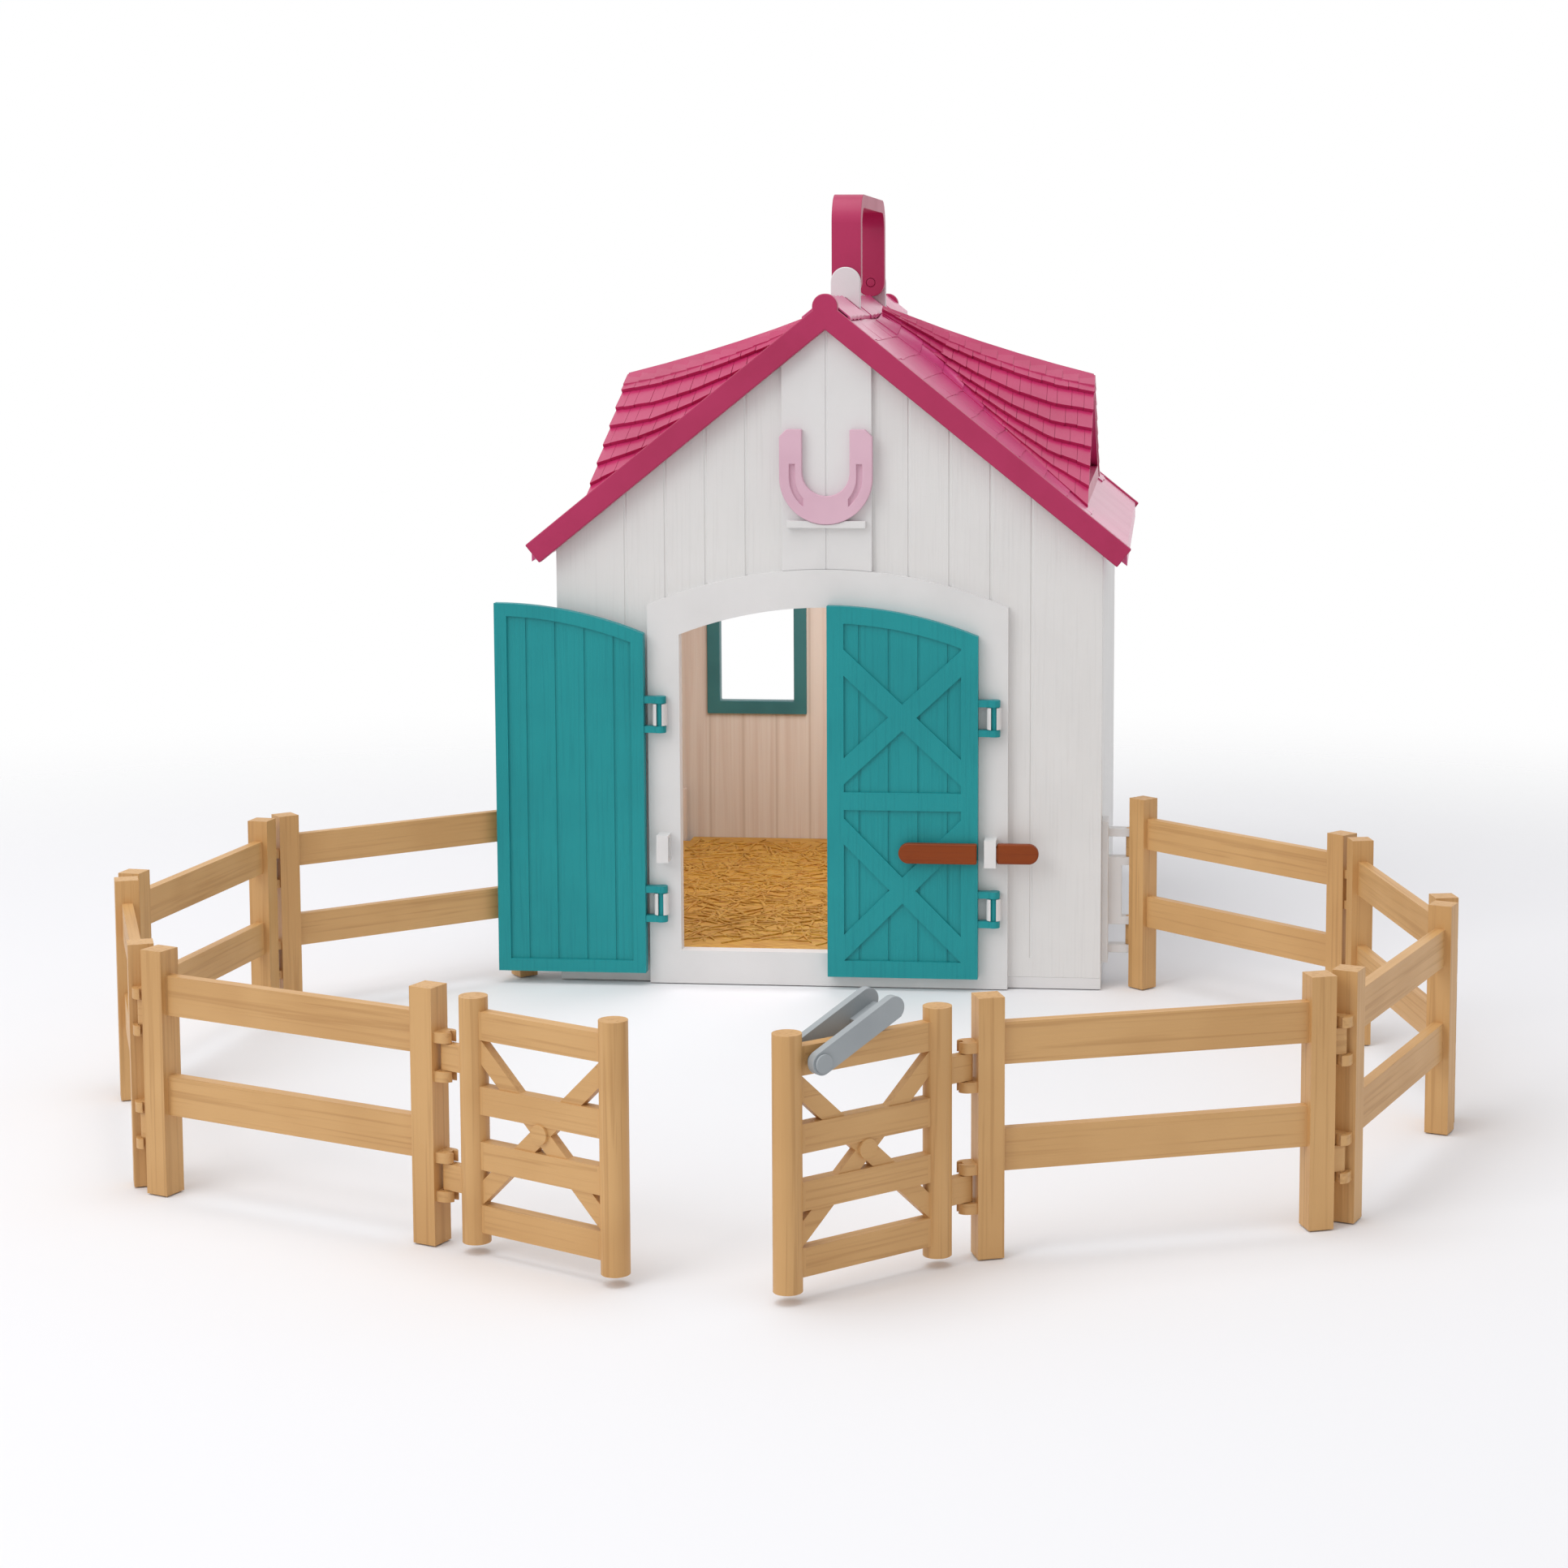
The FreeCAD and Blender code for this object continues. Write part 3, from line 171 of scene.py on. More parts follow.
# Floor, light and camera
GROUND_MIDDLE = (0, -0.32, -0.0004)
GROUND_RADIUS = 3.0
GROUND_SIDES = 96
GROUND_FADE_START = 0.45
GROUND_FADE_END = 0.95
SOFT_LIGHT = 0.62
LAMPS = (
    {"name": "top_softbox", "width": 1.4, "power": 13.0,
     "place": (-0.25, -0.35, 1.7), "target": (0, -0.1, 0.05)},
    {"name": "front_softbox", "width": 1.0, "power": 9.0,
     "place": (-1.1, -1.4, 1.2), "target": (0, 0.02, 0.12)},
    {"name": "inside_fill", "width": 0.11, "power": 0.2,
     "place": (0, -0.01, 0.165), "target": (0, 0.02, 0)},
)
CAMERA_PLACE = (0.1207, -1.1244, 0.2471)
CAMERA_YAW = math.radians(4.84)
CAMERA_PITCH = math.radians(5.96)
CAMERA_LENS_MM = 66.5
CAMERA_SENSOR_MM = 36
CAMERA_SHIFT = (-0.09, -0.12)
CAMERA_CLIP = (0.05, 50)


# Shader maths

class Value:
    """A shader socket that takes part in Python expressions."""

    def __init__(self, shader, socket):
        self.shader = shader
        self.socket = socket

    def __add__(self, other):
        return self.shader.maths("ADD", self, other)

    def __sub__(self, other):
        return self.shader.maths("SUBTRACT", self, other)

    def __rsub__(self, other):
        return self.shader.maths("SUBTRACT", other, self)

    def __mul__(self, other):
        return self.shader.maths("MULTIPLY", self, other)

    def __lt__(self, other):
        return self.shader.maths("LESS_THAN", self, other)

    def __abs__(self):
        return self.shader.maths("ABSOLUTE", self)


class Shader:
    """A node tree whose nodes are added by Python expressions."""

    def __init__(self, tree):
        self.tree = tree

    def node(self, kind, settings=None, sockets=None, output=0):
        """A new node: its settings first, then the values or links of its sockets."""
        made = self.tree.nodes.new(kind)
        for name, value in (settings or {}).items():
            setattr(made, name, value)
        for name, value in (sockets or {}).items():
            self.feed(made.inputs[name], value)
        return Value(self, made.outputs[output])

    def feed(self, socket, value):
        """Link a value to a socket, or set a plain number or colour on it."""
        if isinstance(value, Value):
            self.tree.links.new(value.socket, socket)
        else:
            socket.default_value = value

    def maths(self, operation, *terms):
        return self.node("ShaderNodeMath", {"operation": operation}, dict(enumerate(terms)))


class Finish(Shader):
    """A material with its surface shader and the places of its points."""

    def __init__(self, name):
        self.material = bpy.data.materials.new(name)
        self.material.use_nodes = True
        super().__init__(self.material.node_tree)
        self.surface = self.tree.nodes["Principled BSDF"]
        self.place = self.node("ShaderNodeTexCoord", output="Object")

    def shade(self, **sockets):
        """Set or link sockets of the surface shader."""
        for name, value in sockets.items():
            self.feed(self.surface.inputs[name.replace("_", " ").title().replace("Ior", "IOR")], value)

    def vector(self, operation, sockets, output=0):
        return self.node("ShaderNodeVectorMath", {"operation": operation}, sockets, output)

    def along(self, direction):
        """How far a point lies along a direction."""
        return self.vector("DOT_PRODUCT", {0: self.place, 1: tuple(direction)}, "Value")

    def noise(self, place, scale=1.0, detail=2.0, distortion=0.0):
        return self.node("ShaderNodeTexNoise", {"noise_dimensions": "3D"},
                         {"Vector": place, "Scale": scale, "Detail": detail, "Distortion": distortion})

    def between(self, value, low, high, start=0.0, end=1.0):
        """A smooth step of a value from one level to another."""
        return self.node("ShaderNodeMapRange", {"interpolation_type": "SMOOTHSTEP"},
                         {0: value, 1: low, 2: high, 3: start, 4: end})

    def blend(self, first, second, share):
        """Two values in one, with a share of the second."""
        return second * share + first * (1 - share)

    def mix(self, share, first, second):
        """Two colours in one, with a share of the second."""
        return self.node("ShaderNodeMix", {"data_type": "RGBA"}, {0: share, 6: first, 7: second}, 2)

    def bump(self, height, strength, distance):
        return self.node("ShaderNodeBump", {}, {"Strength": strength, "Distance": distance, "Height": height})

    def uneven(self, value, base, spread):
        """A level that a value raises from its base."""
        return value * spread + base

    def fibres(self, direction, fine, long):
        """Places stretched along a direction, so that noise on them runs in fibres."""
        even = self.vector("SCALE", {0: self.place, "Scale": fine})
        pull = self.vector("SCALE", {0: tuple(direction), "Scale": self.along(direction) * (long - fine)})
        return self.vector("ADD", {0: even, 1: pull})


# Finishes

def paint(red, green, blue):
    """A colour as it looks on the screen, made linear."""
    share = [channel / 255 for channel in (red, green, blue)]
    return tuple(c / 12.92 if c <= 0.04045 else ((c + 0.055) / 1.055) ** 2.4 for c in share) + (1.0,)


def moulded(name, colour, shadow, rough=0.42, grain=None, gloss=0.4):
    """Satin moulded plastic with faint clouding, a fine mould texture and grain along a direction."""
    finish = Finish(name)
    clouds = finish.noise(finish.place, scale=38.0, detail=3.0)
    texture = finish.noise(finish.place, scale=2600.0, detail=1.0)
    tone = finish.between(clouds, low=0.35, high=0.75)
    height = texture * MOULD_TEXTURE_SHARE
    if grain:
        fibres = finish.noise(finish.fibres(grain, fine=1100.0, long=28.0), detail=3.0, distortion=0.4)
        tone = finish.blend(tone, finish.between(fibres, low=0.48, high=0.72), share=0.55)
        height = height + fibres
    finish.colour = finish.mix(tone, colour, shadow)
    smoothest = rough - MOULD_ROUGH_SPREAD / 2
    finish.shade(base_color=finish.colour,
                 roughness=finish.uneven(clouds, base=smoothest, spread=MOULD_ROUGH_SPREAD),
                 specular_ior_level=gloss,
                 normal=finish.bump(height, strength=0.22, distance=0.0004))
    return finish


def plank_white():
    """White planks outside with moulded upright grain, and printed boards on the inner faces in a warm tint
    that is painted bounce light from the straw.
    """
    finish = moulded("white_planks", paint(226, 225, 224), paint(219, 218, 217), rough=0.46, grain=UPRIGHT)
    across, inward = finish.along(ACROSS), finish.along(INWARD)
    inside = (abs(across) < INNER_HALF_WIDTH + INNER_MARGIN) * (abs(inward) < INNER_HALF_DEPTH + INNER_MARGIN)
    from_joint = finish.maths("PINGPONG", across + inward, PLANK_PITCH / 2)
    clear = finish.between(from_joint, low=0.0, high=BOARD_JOINT)
    fibres = finish.noise(finish.fibres(UPRIGHT, fine=420.0, long=9.0), detail=3.0, distortion=0.6)
    streaks = finish.between(fibres, low=0.35, high=0.7)
    # The printed boards, streaks and joints of the inner faces are tinted warm: painted bounce light from the
    # straw.
    boards_with_painted_bounce = finish.mix(streaks, paint(223, 214, 203), paint(214, 200, 187))
    boards_with_painted_bounce = finish.mix(clear, paint(203, 189, 175), boards_with_painted_bounce)
    finish.shade(base_color=finish.mix(inside, finish.colour, boards_with_painted_bounce))
    return finish


def fence_wood(panel, start, heading, near_post, spacing):
    """Tan plastic with moulded wood grain: along the rails, and upright in the posts."""
    finish = Finish(f"wood_{panel}")
    run = finish.along(heading) - start.dot(heading)
    near = abs(run - near_post) < UPRIGHT_GRAIN_HALF
    far = abs(run - near_post - spacing) < UPRIGHT_GRAIN_HALF
    upright = near + far
    rails, posts = [finish.noise(finish.fibres(way, fine=760.0, long=14.0), detail=4.0, distortion=0.6)
                    for way in (heading, UPRIGHT)]
    grain = finish.blend(rails, posts, share=upright)
    streaks = finish.between(grain, low=0.5, high=0.68, end=0.42)
    clouds = finish.between(finish.noise(finish.place, scale=26.0), low=0.35, high=0.7)
    tone = finish.mix(clouds, paint(208, 163, 106), paint(198, 152, 95))
    finish.shade(base_color=finish.mix(streaks, tone, paint(168, 121, 68)),
                 roughness=finish.uneven(grain, base=0.38, spread=0.2),
                 normal=finish.bump(grain, strength=0.35, distance=0.0005))
    return finish


def straw_gold():
    """Golden straw with darker and paler stalks."""
    finish = Finish("straw_gold")
    stalks = finish.noise(finish.fibres((0.92, 0.39, 0), fine=700.0, long=40.0), detail=3.0, distortion=1.2)
    crossed = finish.noise(finish.fibres((0.8, -0.6, 0), fine=640.0, long=44.0), detail=3.0, distortion=1.2)
    litter = finish.blend(stalks, crossed, share=0.45)
    heap = finish.between(finish.noise(finish.place, scale=30.0), low=0.45, high=0.75, end=0.5)
    tone = finish.mix(finish.between(litter, low=0.4, high=0.62), paint(209, 164, 68), paint(183, 128, 44))
    finish.shade(base_color=finish.mix(heap, tone, paint(196, 146, 54)),
                 roughness=finish.uneven(litter, base=0.45, spread=0.2),
                 normal=finish.bump(litter, strength=0.3, distance=0.0008))
    return finish


def screw_steel():
    """Dull turned steel."""
    finish = Finish("screw_steel")
    turned = finish.noise(finish.place, scale=1800.0)
    finish.shade(base_color=finish.mix(turned, paint(168, 168, 170), paint(132, 132, 136)),
                 metallic=1.0, roughness=finish.uneven(turned, base=0.28, spread=0.2))
    return finish


# Dressing of the solids, and new pieces

def soften(thing, edge, angle, evenness, clamp):
    """Round the edges of an object and shade it evenly."""
    rounded = thing.modifiers.new("moulded edges", "BEVEL")
    rounded.width = edge
    rounded.segments = EDGE_SEGMENTS
    rounded.limit_method = "ANGLE"
    rounded.angle_limit = angle
    rounded.use_clamp_overlap = clamp
    even = thing.modifiers.new("even shading", "WEIGHTED_NORMAL")
    even.weight = evenness
    thing.data.shade_smooth()


def dress(node, finish, edge):
    """Give a solid its finish and soft moulded edges."""
    solid = NODES[node]
    solid.data.materials.clear()
    solid.data.materials.append(finish.material)
    weld = solid.modifiers.new("joined", "WELD")
    weld.merge_threshold = WELD_GAP
    flat = solid.modifiers.new("flat faces", "DECIMATE")
    flat.decimate_type = "DISSOLVE"
    flat.angle_limit = FLAT_ANGLE
    soften(solid, edge, SOLID_EDGE_ANGLE, SOLID_EVENNESS, clamp=True)


def dress_fences():
    """Give each fence panel and gate wood whose grain follows its own rails and posts."""
    pivots = {joint["child"]: Vector(joint["pos_m"]) * IN_PLAN
              for joint in frame["joints"] if "pos_m" in joint}
    for word in ("left", "right"):
        gate = f"gate_{word}"
        chain = [f"fence_{word}_{number}" for number in range(1, FENCE_PANELS + 1)] + [gate]
        for panel, after in zip(chain, chain[1:]):
            heading = (pivots[after] - pivots[panel]).normalized()
            dress(panel, fence_wood(panel, pivots[panel], heading, POST_NEAR, POST_SPACING), RAIL_EDGE)
        reaches = [vertex.co * IN_PLAN - pivots[gate] for vertex in NODES[gate].data.vertices]
        heading = max(reaches, key=lambda reach: reach.length).normalized()
        dress(gate, fence_wood(gate, pivots[gate], heading, GATE_POST_NEAR, GATE_POST_SPACING), RAIL_EDGE)


def new_piece(name, points, faces, finish, body, edge=0.0):
    """A mesh piece that rides on a body."""
    mesh = bpy.data.meshes.new(name)
    mesh.from_pydata([tuple(point) for point in points], [], faces)
    mesh.update()
    made = bpy.data.objects.new(name, mesh)
    bpy.context.scene.collection.objects.link(made)
    builder = bmesh.new()
    builder.from_mesh(mesh)
    bmesh.ops.recalc_face_normals(builder, faces=builder.faces)
    builder.to_mesh(mesh)
    builder.free()
    mesh.materials.append(finish.material)
    if edge:
        soften(made, edge, PIECE_EDGE_ANGLE, PIECE_EVENNESS, clamp=False)
    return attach(made, body)


def rise_by(height):
    """A step straight up."""
    return Vector((0, 0, height))


def slab(points, faces, top, bottom):
    """Add a closed slab between two rings of four points."""
    first = len(points)
    points.extend(top)
    points.extend(bottom)
    faces.append([first + k for k in range(4)])
    faces.append([first + 7 - k for k in range(4)])
    for k in range(4):
        after = (k + 1) % 4
        faces.append([first + k, first + after, first + 4 + after, first + 4 + k])


def plate(points, faces, upper, lower, thick):
    """Add a closed plate between two edges, with its underside straight below it."""
    first, count = len(points), len(upper)
    rows = [upper, lower] + [[point - rise_by(thick) for point in row] for row in (lower, upper)]
    for row in rows:
        points.extend(row)
    for row in range(4):
        here, after = first + row * count, first + (row + 1) % 4 * count
        for k in range(count - 1):
            faces.append([here + k, here + k + 1, after + k + 1, after + k])
    faces.append([first + row * count for row in range(4)])
    faces.append([first + row * count + count - 1 for row in range(3, -1, -1)])


def folded_tile(points, faces, near, far, thick):
    """Add one side of a folded tile between its two ends, each given by its crown and its foot."""
    top = [near[0], far[0], far[1], near[1]]
    slab(points, faces, top, [point - rise_by(thick) for point in top])


# Cross gables

def dormer_flare(x):
    """What share of its spread a cross gable has reached this far out."""
    return max(0.0, x - DORMER_FLARE_START) / (DORMER_END - DORMER_FLARE_START)


def dormer_half(x):
    """How far the foot of a cross gable lies from its ridge line."""
    return DORMER_START_HALF + (DORMER_END_HALF - DORMER_START_HALF) * dormer_flare(x)


def course_height(x, share):
    """How high up the slope a course line lies: even at the outer end, crowded to the foot further in."""
    return max(0.0, share) ** (1 + COURSE_CROWDING * (1 - dormer_flare(x)))


def course_depth(x, course):
    """How thick a course's edge is: full where the course is wide, and less where it is narrow."""
    wide = course_height(x, (course + 1) / DORMER_COURSES) - course_height(x, course / DORMER_COURSES)
    return min(1.0, wide * DORMER_COURSES)


def dormer_section(x, share):
    """How far from the ridge line, and how high, a course line lies at one section of a cross gable."""
    station = (x - DORMER_START) / (DORMER_END - DORMER_START)
    low = ROOF_TOP - ROOF_SLOPE * x
    first = ROOF_TOP - ROOF_SLOPE * DORMER_START + DORMER_FIRST_RISE
    apex = first + (DORMER_APEX - first) * station - 4 * DORMER_SAG * station * (1 - station)
    height = course_height(x, share)
    return Vector((dormer_half(x) * (1 - height), low + (apex - low) * height))


def dormer_place(side, slope, x, share):
    """A point of a cross gable's slope, on the straight line between the sections on both sides of it."""
    span = (DORMER_END - DORMER_FLARE_START) / DORMER_SPANS
    start, end = DORMER_START, DORMER_FLARE_START
    while x > end and end < DORMER_END - span / 2:
        start, end = end, end + span
    across, up = dormer_section(start, share).lerp(dormer_section(end, share), (x - start) / (end - start))
    return Vector((side * x, slope * across, up))


def dormer_shingle_edges(chance, course):
    """Where the shingles of a course on a cross gable part: staggered, and a little uneven."""
    pitch = (DORMER_END - DORMER_START) / DORMER_SHINGLES
    stagger = DORMER_SHINGLE_STAGGER_SHARE * (course % 2)
    wander = DORMER_SHINGLE_WANDER_SHARE
    edges = [DORMER_START + pitch * (number + stagger + chance.uniform(-wander, wander))
             for number in range(DORMER_SHINGLES + 1)]
    first, last = DORMER_START + SHINGLE_LEAST_WIDTH, DORMER_END - SHINGLE_LEAST_WIDTH
    inner = [edge for edge in edges if first < edge < last]
    return [DORMER_START] + inner + [DORMER_END + DORMER_SHINGLE_OVERHANG]


def dormer_shingle(points, faces, side, slope, course, ends, stand, hang):
    """Add one shingle to a cross gable: proud at its lower edge, and thin at its upper one."""
    left, right = ends[0] + SHINGLE_GAP, ends[1] - SHINGLE_GAP
    low, high = course / DORMER_COURSES - hang, (course + 1) / DORMER_COURSES
    corners = [(left, low), (right, low), (right, high), (left, high)]
    seat = [dormer_place(side, slope, x, share) for x, share in corners]
    if (seat[3] - seat[0]).length < DORMER_SHINGLE_LEAST_LENGTH:
        return
    out = (seat[1] - seat[0]).cross(seat[3] - seat[0]).normalized()
    if out.z < 0:
        out = -out
    lift = [(COURSE_LIP + stand) * course_depth(x, course) for x in (left, right)]
    lift += [DORMER_SHINGLE_BACK, DORMER_SHINGLE_BACK]
    top = [point + out * rise for point, rise in zip(seat, lift)]
    slab(points, faces, top, [point - out * SHINGLE_ROOT for point in seat])


def dormer_shingles(side, word, finish):
    """Close-set shingles in staggered courses on both slopes of a cross gable."""
    chance = random.Random(DORMER_SHINGLE_SEED + side)
    points, faces = [], []
    for slope in (-1, 1):
        for course in range(DORMER_COURSES):
            edges = dormer_shingle_edges(chance, course)
            for ends in zip(edges, edges[1:]):
                stand = SHINGLE_STAND + chance.uniform(0, DORMER_SHINGLE_UNEVEN)
                hang = chance.uniform(0, DORMER_SHINGLE_HANG_SHARE) / DORMER_COURSES
                dormer_shingle(points, faces, side, slope, course, ends, stand, hang)
    new_piece(f"shingles_dormer_{word}", points, faces, finish, "stable", SHINGLE_EDGE)


def dormer_ridge_tiles(side, word, finish):
    """Folded tiles that overlap along the ridge of a cross gable."""
    points, faces = [], []
    pitch = (DORMER_END - DORMER_START) / DORMER_TILES
    for number in range(DORMER_TILES):
        start = DORMER_START + pitch * number
        end = min(start + pitch * DORMER_TILE_LAP_SHARE, DORMER_END + TILE_OVERHANG)
        for slope in (-1, 1):
            ends = []
            for x, rise in zip((start, end), TILE_RISES):
                crown = dormer_place(side, slope, x, 1.0) + rise_by(rise)
                stand = DORMER_TILE_FOOT_STAND + rise * DORMER_TILE_FOOT_RISE_SHARE
                foot = dormer_place(side, slope, x, DORMER_TILE_FOOT_SHARE)
                ends.append((crown, foot + Vector((0, slope * TILE_OVERHANG, stand))))
            folded_tile(points, faces, *ends, DORMER_TILE_THICK)
    new_piece(f"ridge_tiles_dormer_{word}", points, faces, finish, "stable", FINE_EDGE)


# Main roof

def sweep_edge(side, slope, x, rise):
    """A curve that sweeps from the main slope up onto a cross gable, over the valley between them."""
    reach = SWEEP_REACH * (SWEEP_START_SHARE - (x - RIDGE_CAP_HALF) / (SWEEP_END - RIDGE_CAP_HALF))
    valley = dormer_place(side, slope, x, 0.0)
    climb = dormer_place(side, slope, x, 1.0) - valley
    outer = valley + Vector((0, slope * reach, 0))
    inner = valley + climb * min(1.0, reach / climb.length)
    edge = []
    for step in range(SWEEP_STEPS + 1):
        share = step / SWEEP_STEPS
        point = outer * (1 - share) ** 2 + valley * 2 * share * (1 - share) + inner * share ** 2
        edge.append(point + rise_by(rise * (1 - share ** 2)))
    return edge


def swept_courses(side, word, finish):
    """The upper courses of a main slope, which sweep up onto both sides of the cross gable."""
    points, faces = [], []
    for slope in (-1, 1):
        for course in range(SWEEP_COURSES):
            start = RIDGE_CAP_HALF + ROOF_COURSE_STEP * course
            upper = sweep_edge(side, slope, max(start, DORMER_START), SWEEP_UPPER_RISE)
            lower = sweep_edge(side, slope, start + ROOF_COURSE_STEP * SWEEP_LAP_SHARE, SWEEP_LOWER_RISE)
            plate(points, faces, upper, lower, SWEEP_THICK)
    new_piece(f"swept_courses_{word}", points, faces, finish, "stable", SHINGLE_EDGE)


def roof_place(side, x, y, rise):
    """A point over a main roof slope, raised square to the slope."""
    tilt = math.atan(ROOF_SLOPE)
    return Vector((side * (x + rise * math.sin(tilt)), y, ROOF_TOP - ROOF_SLOPE * x + rise * math.cos(tilt)))


def roof_shingles(side, word, finish):
    """Courses of shingles on a main roof slope, above a smooth eave strip."""
    chance = random.Random(ROOF_SHINGLE_SEED + side)
    points, faces = [], []
    for course in range(ROOF_COURSES):
        low = ROOF_COURSE_END - ROOF_COURSE_STEP * course
        high = low - ROOF_COURSE_STEP
        y = ROOF_FRONT - ROOF_SHINGLE_STAGGER * (course % 2)
        while y < ROOF_BACK:
            width = chance.uniform(*ROOF_SHINGLE_WIDTHS)
            start = max(y, ROOF_FRONT) + SHINGLE_GAP
            end = min(y + width, ROOF_BACK) - SHINGLE_GAP
            y += width
            covered = max(abs(start), abs(end)) < dormer_half(high) - ROOF_SHINGLE_TUCK
            if covered or end - start < SHINGLE_LEAST_WIDTH:
                continue
            stand = SHINGLE_STAND + chance.uniform(0, ROOF_SHINGLE_UNEVEN)
            foot = low + chance.uniform(0, ROOF_SHINGLE_HANG)
            corners = [(foot, start, stand), (foot, end, stand),
                       (high, end, ROOF_SHINGLE_BACK), (high, start, ROOF_SHINGLE_BACK)]
            top = [roof_place(side, *corner) for corner in corners]
            bottom = [roof_place(side, x, across, -SHINGLE_ROOT) for x, across, _ in corners]
            slab(points, faces, top, bottom)
    new_piece(f"shingles_roof_{word}", points, faces, finish, "stable", SHINGLE_EDGE)


def ridge_tiles(finish):
    """Folded tiles along the main ridge, left out round the two ends of the handle."""
    points, faces = [], []
    foot_out = RIDGE_CAP_HALF + TILE_OVERHANG
    foot_up = ROOF_TOP - ROOF_SLOPE * foot_out + RIDGE_CAP_THICK
    for number in range(RIDGE_TILES):
        start = ROOF_FRONT + RIDGE_TILE_PITCH * number
        end = start + RIDGE_TILE_PITCH * RIDGE_TILE_LAP_SHARE
        near, far = sorted((abs(start), abs(end)))
        if near < RIDGE_FREE_FAR and far > RIDGE_FREE_NEAR:
            continue
        for side in (-1, 1):
            ends = []
            for y, rise in zip((start, min(end, ROOF_BACK)), TILE_RISES):
                crown = Vector((0, y, ROOF_TOP + RIDGE_CAP_THICK + rise))
                ends.append((crown, Vector((side * foot_out, y, foot_up + rise))))
            folded_tile(points, faces, *ends, RIDGE_TILE_THICK)
    new_piece("ridge_tiles_main", points, faces, finish, "stable", FINE_EDGE)


# Straw

def stalk_faces(first):
    """The faces of a stalk whose rings of points start at a number."""
    faces = []
    for ring in range(STALK_RINGS - 1):
        here = first + STALK_SIDES * ring
        for turn in range(STALK_SIDES):
            after = (turn + 1) % STALK_SIDES
            faces.append([here + turn, here + after, here + STALK_SIDES + after, here + STALK_SIDES + turn])
    last = first + STALK_SIDES * (STALK_RINGS - 1)
    faces.append([first + turn for turn in reversed(range(STALK_SIDES))])
    faces.append([last + turn for turn in range(STALK_SIDES)])
    return faces


def straw_stalks(finish):
    """Stalks that lie every way over the floor, half sunk in it."""
    chance = random.Random(STRAW_SEED)
    points, faces = [], []
    for _ in range(STALKS):
        length = chance.uniform(*STALK_LENGTHS)
        angle = chance.uniform(0, math.pi)
        along = Vector((math.cos(angle), math.sin(angle), 0))
        across = Vector((-along.y, along.x, 0))
        x = chance.uniform(-STRAW_HALF_WIDTH, STRAW_HALF_WIDTH)
        y = chance.uniform(-STRAW_HALF_DEPTH, STRAW_HALF_DEPTH)
        half = chance.uniform(*STALK_HALVES)
        bow = chance.uniform(-STALK_BOW, STALK_BOW)
        lift = chance.uniform(*STALK_LIFTS)
        faces.extend(stalk_faces(len(points)))
        for ring in range(STALK_RINGS):
            share = ring / (STALK_RINGS - 1)
            blunt = min(max(share, STALK_BLUNT_SHARE), 1 - STALK_BLUNT_SHARE)
            thin = STALK_TIP_SHARE + (1 - STALK_TIP_SHARE) * math.sin(math.pi * blunt)
            centre = Vector((x, y, FLOOR_TOP)) + along * ((share - 0.5) * length)
            centre = centre + across * bow * (4 * share * (1 - share))
            for turn in range(STALK_SIDES):
                around = (turn + 0.5) * math.tau / STALK_SIDES
                out = across * half * thin * math.cos(around) * STALK_WIDE_SHARE
                up = lift + half * thin * math.sin(around) * STALK_HIGH_SHARE
                points.append(centre + out + rise_by(up))
    made = new_piece("straw_stalks", points, faces, finish, "stable")
    made.data.shade_smooth()


# Floor, light and camera

def white_floor():
    """A pale floor that keeps the shadows and fades into the white round it."""
    bpy.ops.mesh.primitive_circle_add(vertices=GROUND_SIDES, radius=GROUND_RADIUS, fill_type="NGON",
                                      location=GROUND_MIDDLE)
    ground = bpy.context.object
    ground.name = "floor"
    finish = Finish("pale_floor")
    away = finish.vector("LENGTH", {0: finish.place}, "Value")
    finish.shade(base_color=paint(238, 238, 241), roughness=0.9,
                 alpha=finish.between(away, GROUND_FADE_START, GROUND_FADE_END, start=1.0, end=0.0))
    ground.data.materials.append(finish.material)


def white_room():
    """White all round: full white to the eye and in gloss, and a softer light on the toy."""
    world = bpy.data.worlds.new("white_room")
    bpy.context.scene.world = world
    world.use_nodes = True
    shader = Shader(world.node_tree)
    seen = shader.node("ShaderNodeLightPath", output="Is Camera Ray")
    path = seen.socket.node.outputs
    for ray in ("Is Glossy Ray", "Is Transmission Ray"):
        seen = shader.maths("MAXIMUM", seen, Value(shader, path[ray]))
    backdrop = world.node_tree.nodes["Background"].inputs
    shader.feed(backdrop["Color"], (1, 1, 1, 1))
    shader.feed(backdrop["Strength"], seen * (1 - SOFT_LIGHT) + SOFT_LIGHT)


def soft_lamp(name, place, target, width, power):
    """A square lamp that faces a target and doesn't show itself."""
    lamp = bpy.data.lights.new(name, "AREA")
    lamp.shape = "SQUARE"
    lamp.size = width
    lamp.energy = power
    holder = bpy.data.objects.new(name, lamp)
    bpy.context.scene.collection.objects.link(holder)
    holder.location = place
    holder.visible_camera = False
    holder.rotation_euler = (Vector(target) - Vector(place)).to_track_quat("-Z", "Y").to_euler()


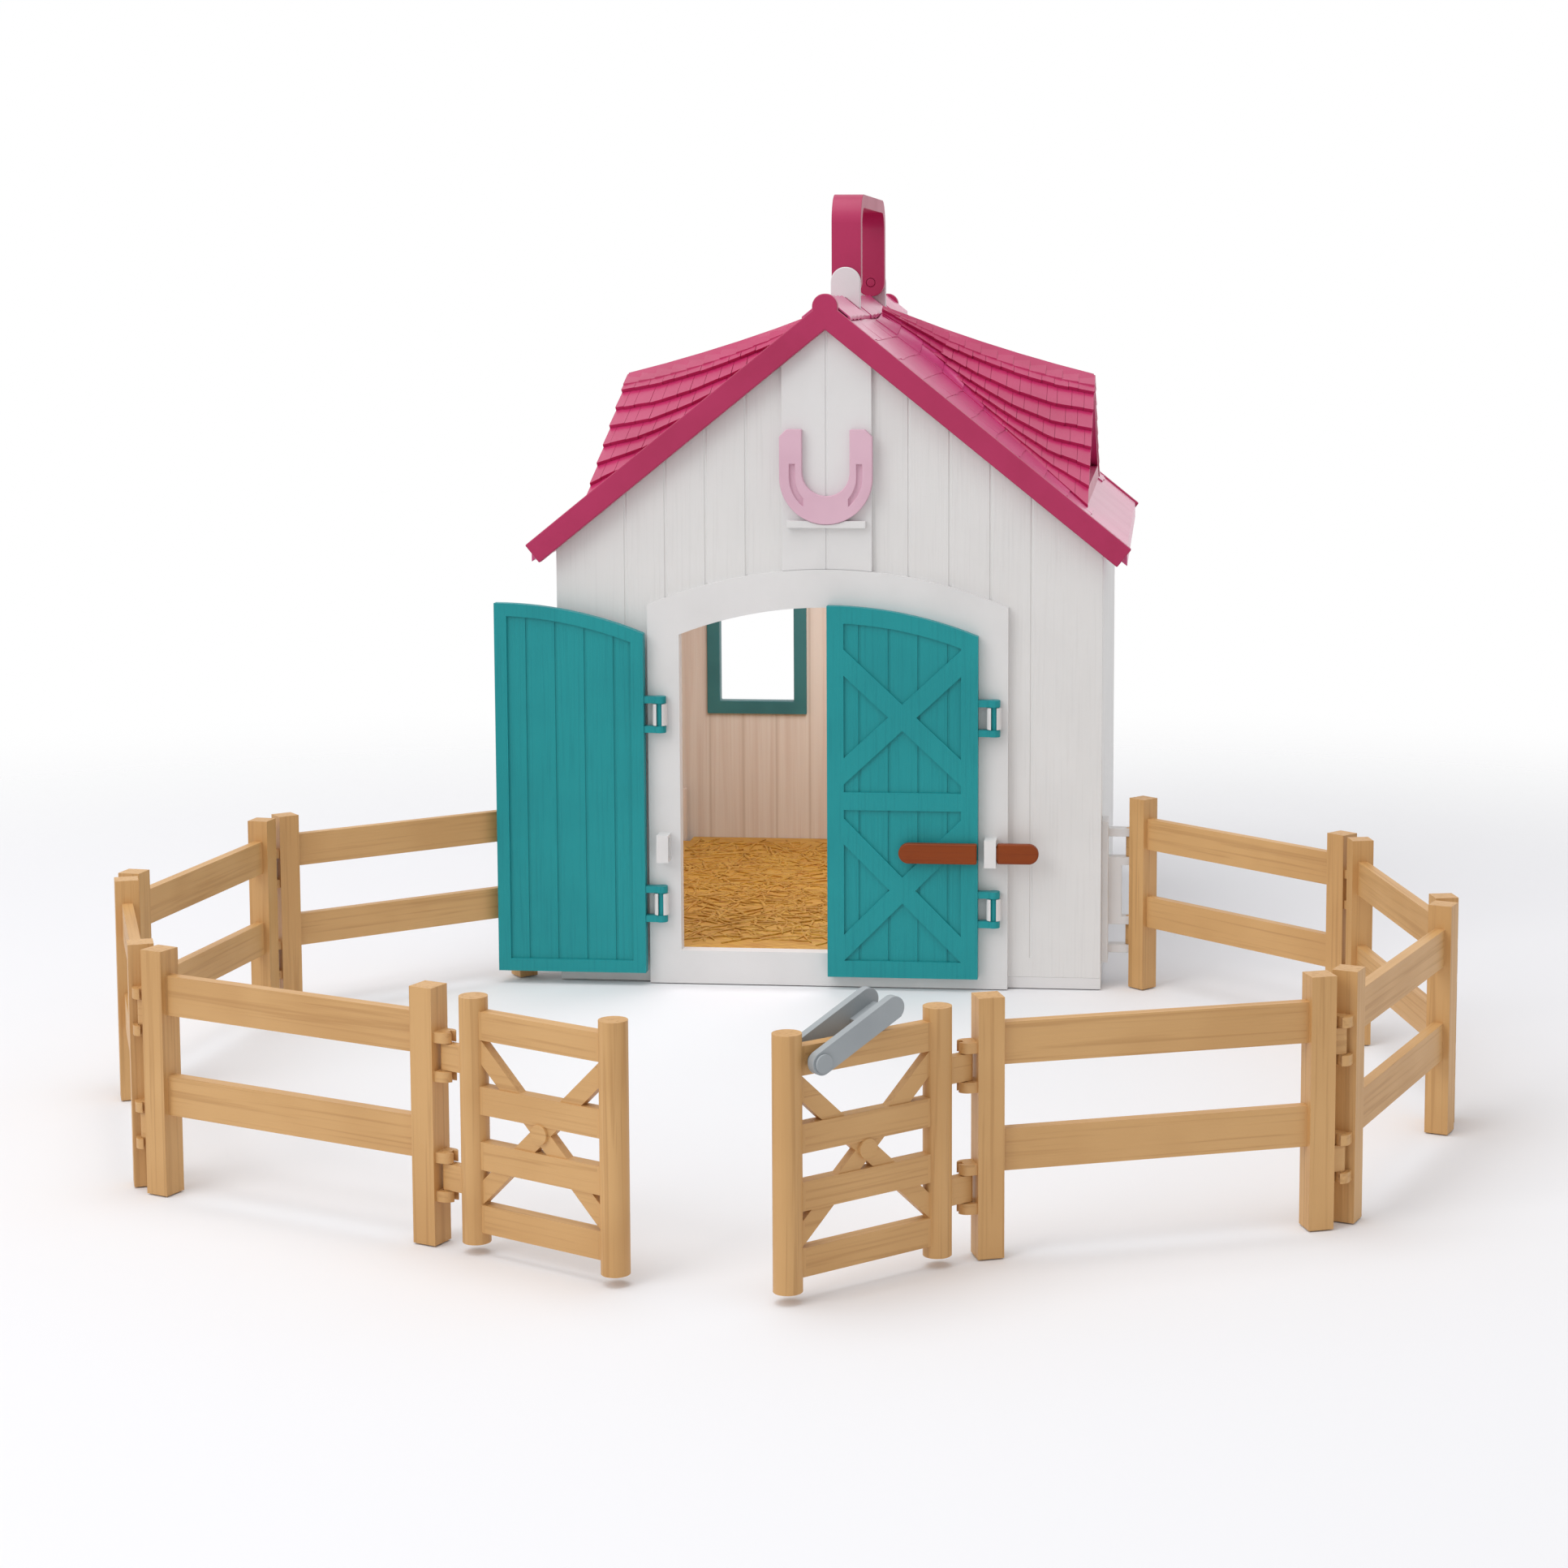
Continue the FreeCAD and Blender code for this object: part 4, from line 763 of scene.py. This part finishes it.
def photo_camera():
    """A camera at the photograph's viewing angle."""
    right = Vector((math.cos(CAMERA_YAW), math.sin(CAMERA_YAW), 0))
    ahead = Vector((-math.sin(CAMERA_YAW) * math.cos(CAMERA_PITCH),
                    math.cos(CAMERA_YAW) * math.cos(CAMERA_PITCH),
                    -math.sin(CAMERA_PITCH)))
    lens = bpy.data.cameras.new("photo_camera")
    lens.lens = CAMERA_LENS_MM
    lens.sensor_width = CAMERA_SENSOR_MM
    lens.shift_x, lens.shift_y = CAMERA_SHIFT
    lens.clip_start, lens.clip_end = CAMERA_CLIP
    camera = bpy.data.objects.new("photo_camera", lens)
    bpy.context.scene.collection.objects.link(camera)
    turned = Matrix((right, right.cross(ahead), -ahead)).transposed().to_4x4()
    camera.matrix_world = Matrix.Translation(CAMERA_PLACE) @ turned
    bpy.context.scene.camera = camera


# The toy in its finishes

white = moulded("white_satin", paint(226, 225, 225), paint(220, 219, 219), rough=0.44)
planks = plank_white()
pink = moulded("roof_pink", paint(186, 39, 97), paint(175, 31, 87), rough=0.38, gloss=0.5)
pink.shade(coat_weight=0.15, coat_roughness=0.2)
# The main roof slopes, ridge cap, main shingles and ridge tiles are the same pink moulding as the cross
# gables; their lighter base colour is painted sheen for the pale gloss at grazing angles, and the clear coat
# gives real gloss.
sheen_painted_pink = moulded("roof_pink_painted_sheen", paint(205, 64, 128), paint(196, 55, 118), rough=0.36, gloss=0.5)
sheen_painted_pink.shade(coat_weight=0.45, coat_roughness=0.16)
magenta = moulded("trim_magenta", paint(176, 39, 89), paint(166, 32, 80), rough=0.4)
teal = moulded("door_teal", paint(26, 146, 151), paint(20, 134, 140), rough=0.44, grain=UPRIGHT, gloss=0.3)
dark_teal = moulded("window_teal", paint(54, 117, 120), paint(46, 105, 109), rough=0.45)
grey = moulded("latch_grey", paint(162, 168, 171), paint(151, 157, 161), rough=0.4)
shoe = moulded("shoe_pink", paint(220, 181, 198), paint(212, 171, 189))
brown = moulded("bolt_brown", paint(138, 60, 6), paint(124, 50, 4), grain=ACROSS, gloss=0.3)
straw = straw_gold()
steel = screw_steel()

DRESSING = (
    (planks, FINE_EDGE, ("front_wall", "back_wall", "left_wall", "right_wall")),
    (white, PANEL_EDGE, ("base_plate", "gable_panel", "dormer_gable_left", "dormer_gable_right")),
    (white, TRIM_EDGE, ("handle_lug_front", "handle_lug_rear", "fence_bracket_left", "fence_bracket_right")),
    (white, TRIM_EDGE, ("door_surround",)),
    # main roof in the lighter pink of painted sheen
    (sheen_painted_pink, PANEL_EDGE, ("roof_left", "roof_right", "ridge_cap")),
    (pink, PANEL_EDGE, ("dormer_left", "dormer_right")),
    (magenta, RAIL_EDGE, ("front_rake", "rear_rake", "handle_pin_front", "handle_pin_rear")),
    (magenta, GRIP_EDGE, ("carry_handle",)),
    (teal, PANEL_EDGE, ("left_door", "right_door")),
    (dark_teal, TRIM_EDGE, ("left_window_frame", "right_window_frame")),
    (grey, TRIM_EDGE, ("gate_latch",)),
    (grey, FINE_EDGE, ("gate_latch_pin",)),
    (shoe, ROUND_EDGE, ("horseshoe",)),
    (brown, ROUND_EDGE, ("door_bolt", "bolt_socket")),
    (straw, PANEL_EDGE, ("straw_floor",)),
    (steel, FINE_EDGE, ("base_screws",)),
)
for finish, edge, nodes in DRESSING:
    for node in nodes:
        dress(node, finish, edge)
dress_fences()

for side, word in ((-1, "left"), (1, "right")):
    dormer_shingles(side, word, pink)
    dormer_ridge_tiles(side, word, pink)
    # the main roof's courses, shingles and ridge tiles take the lighter pink of painted sheen
    swept_courses(side, word, sheen_painted_pink)
    roof_shingles(side, word, sheen_painted_pink)
ridge_tiles(sheen_painted_pink)
straw_stalks(straw)

white_floor()
white_room()
for lamp in LAMPS:
    soft_lamp(**lamp)
photo_camera()
bpy.context.scene.view_settings.view_transform = "Standard"
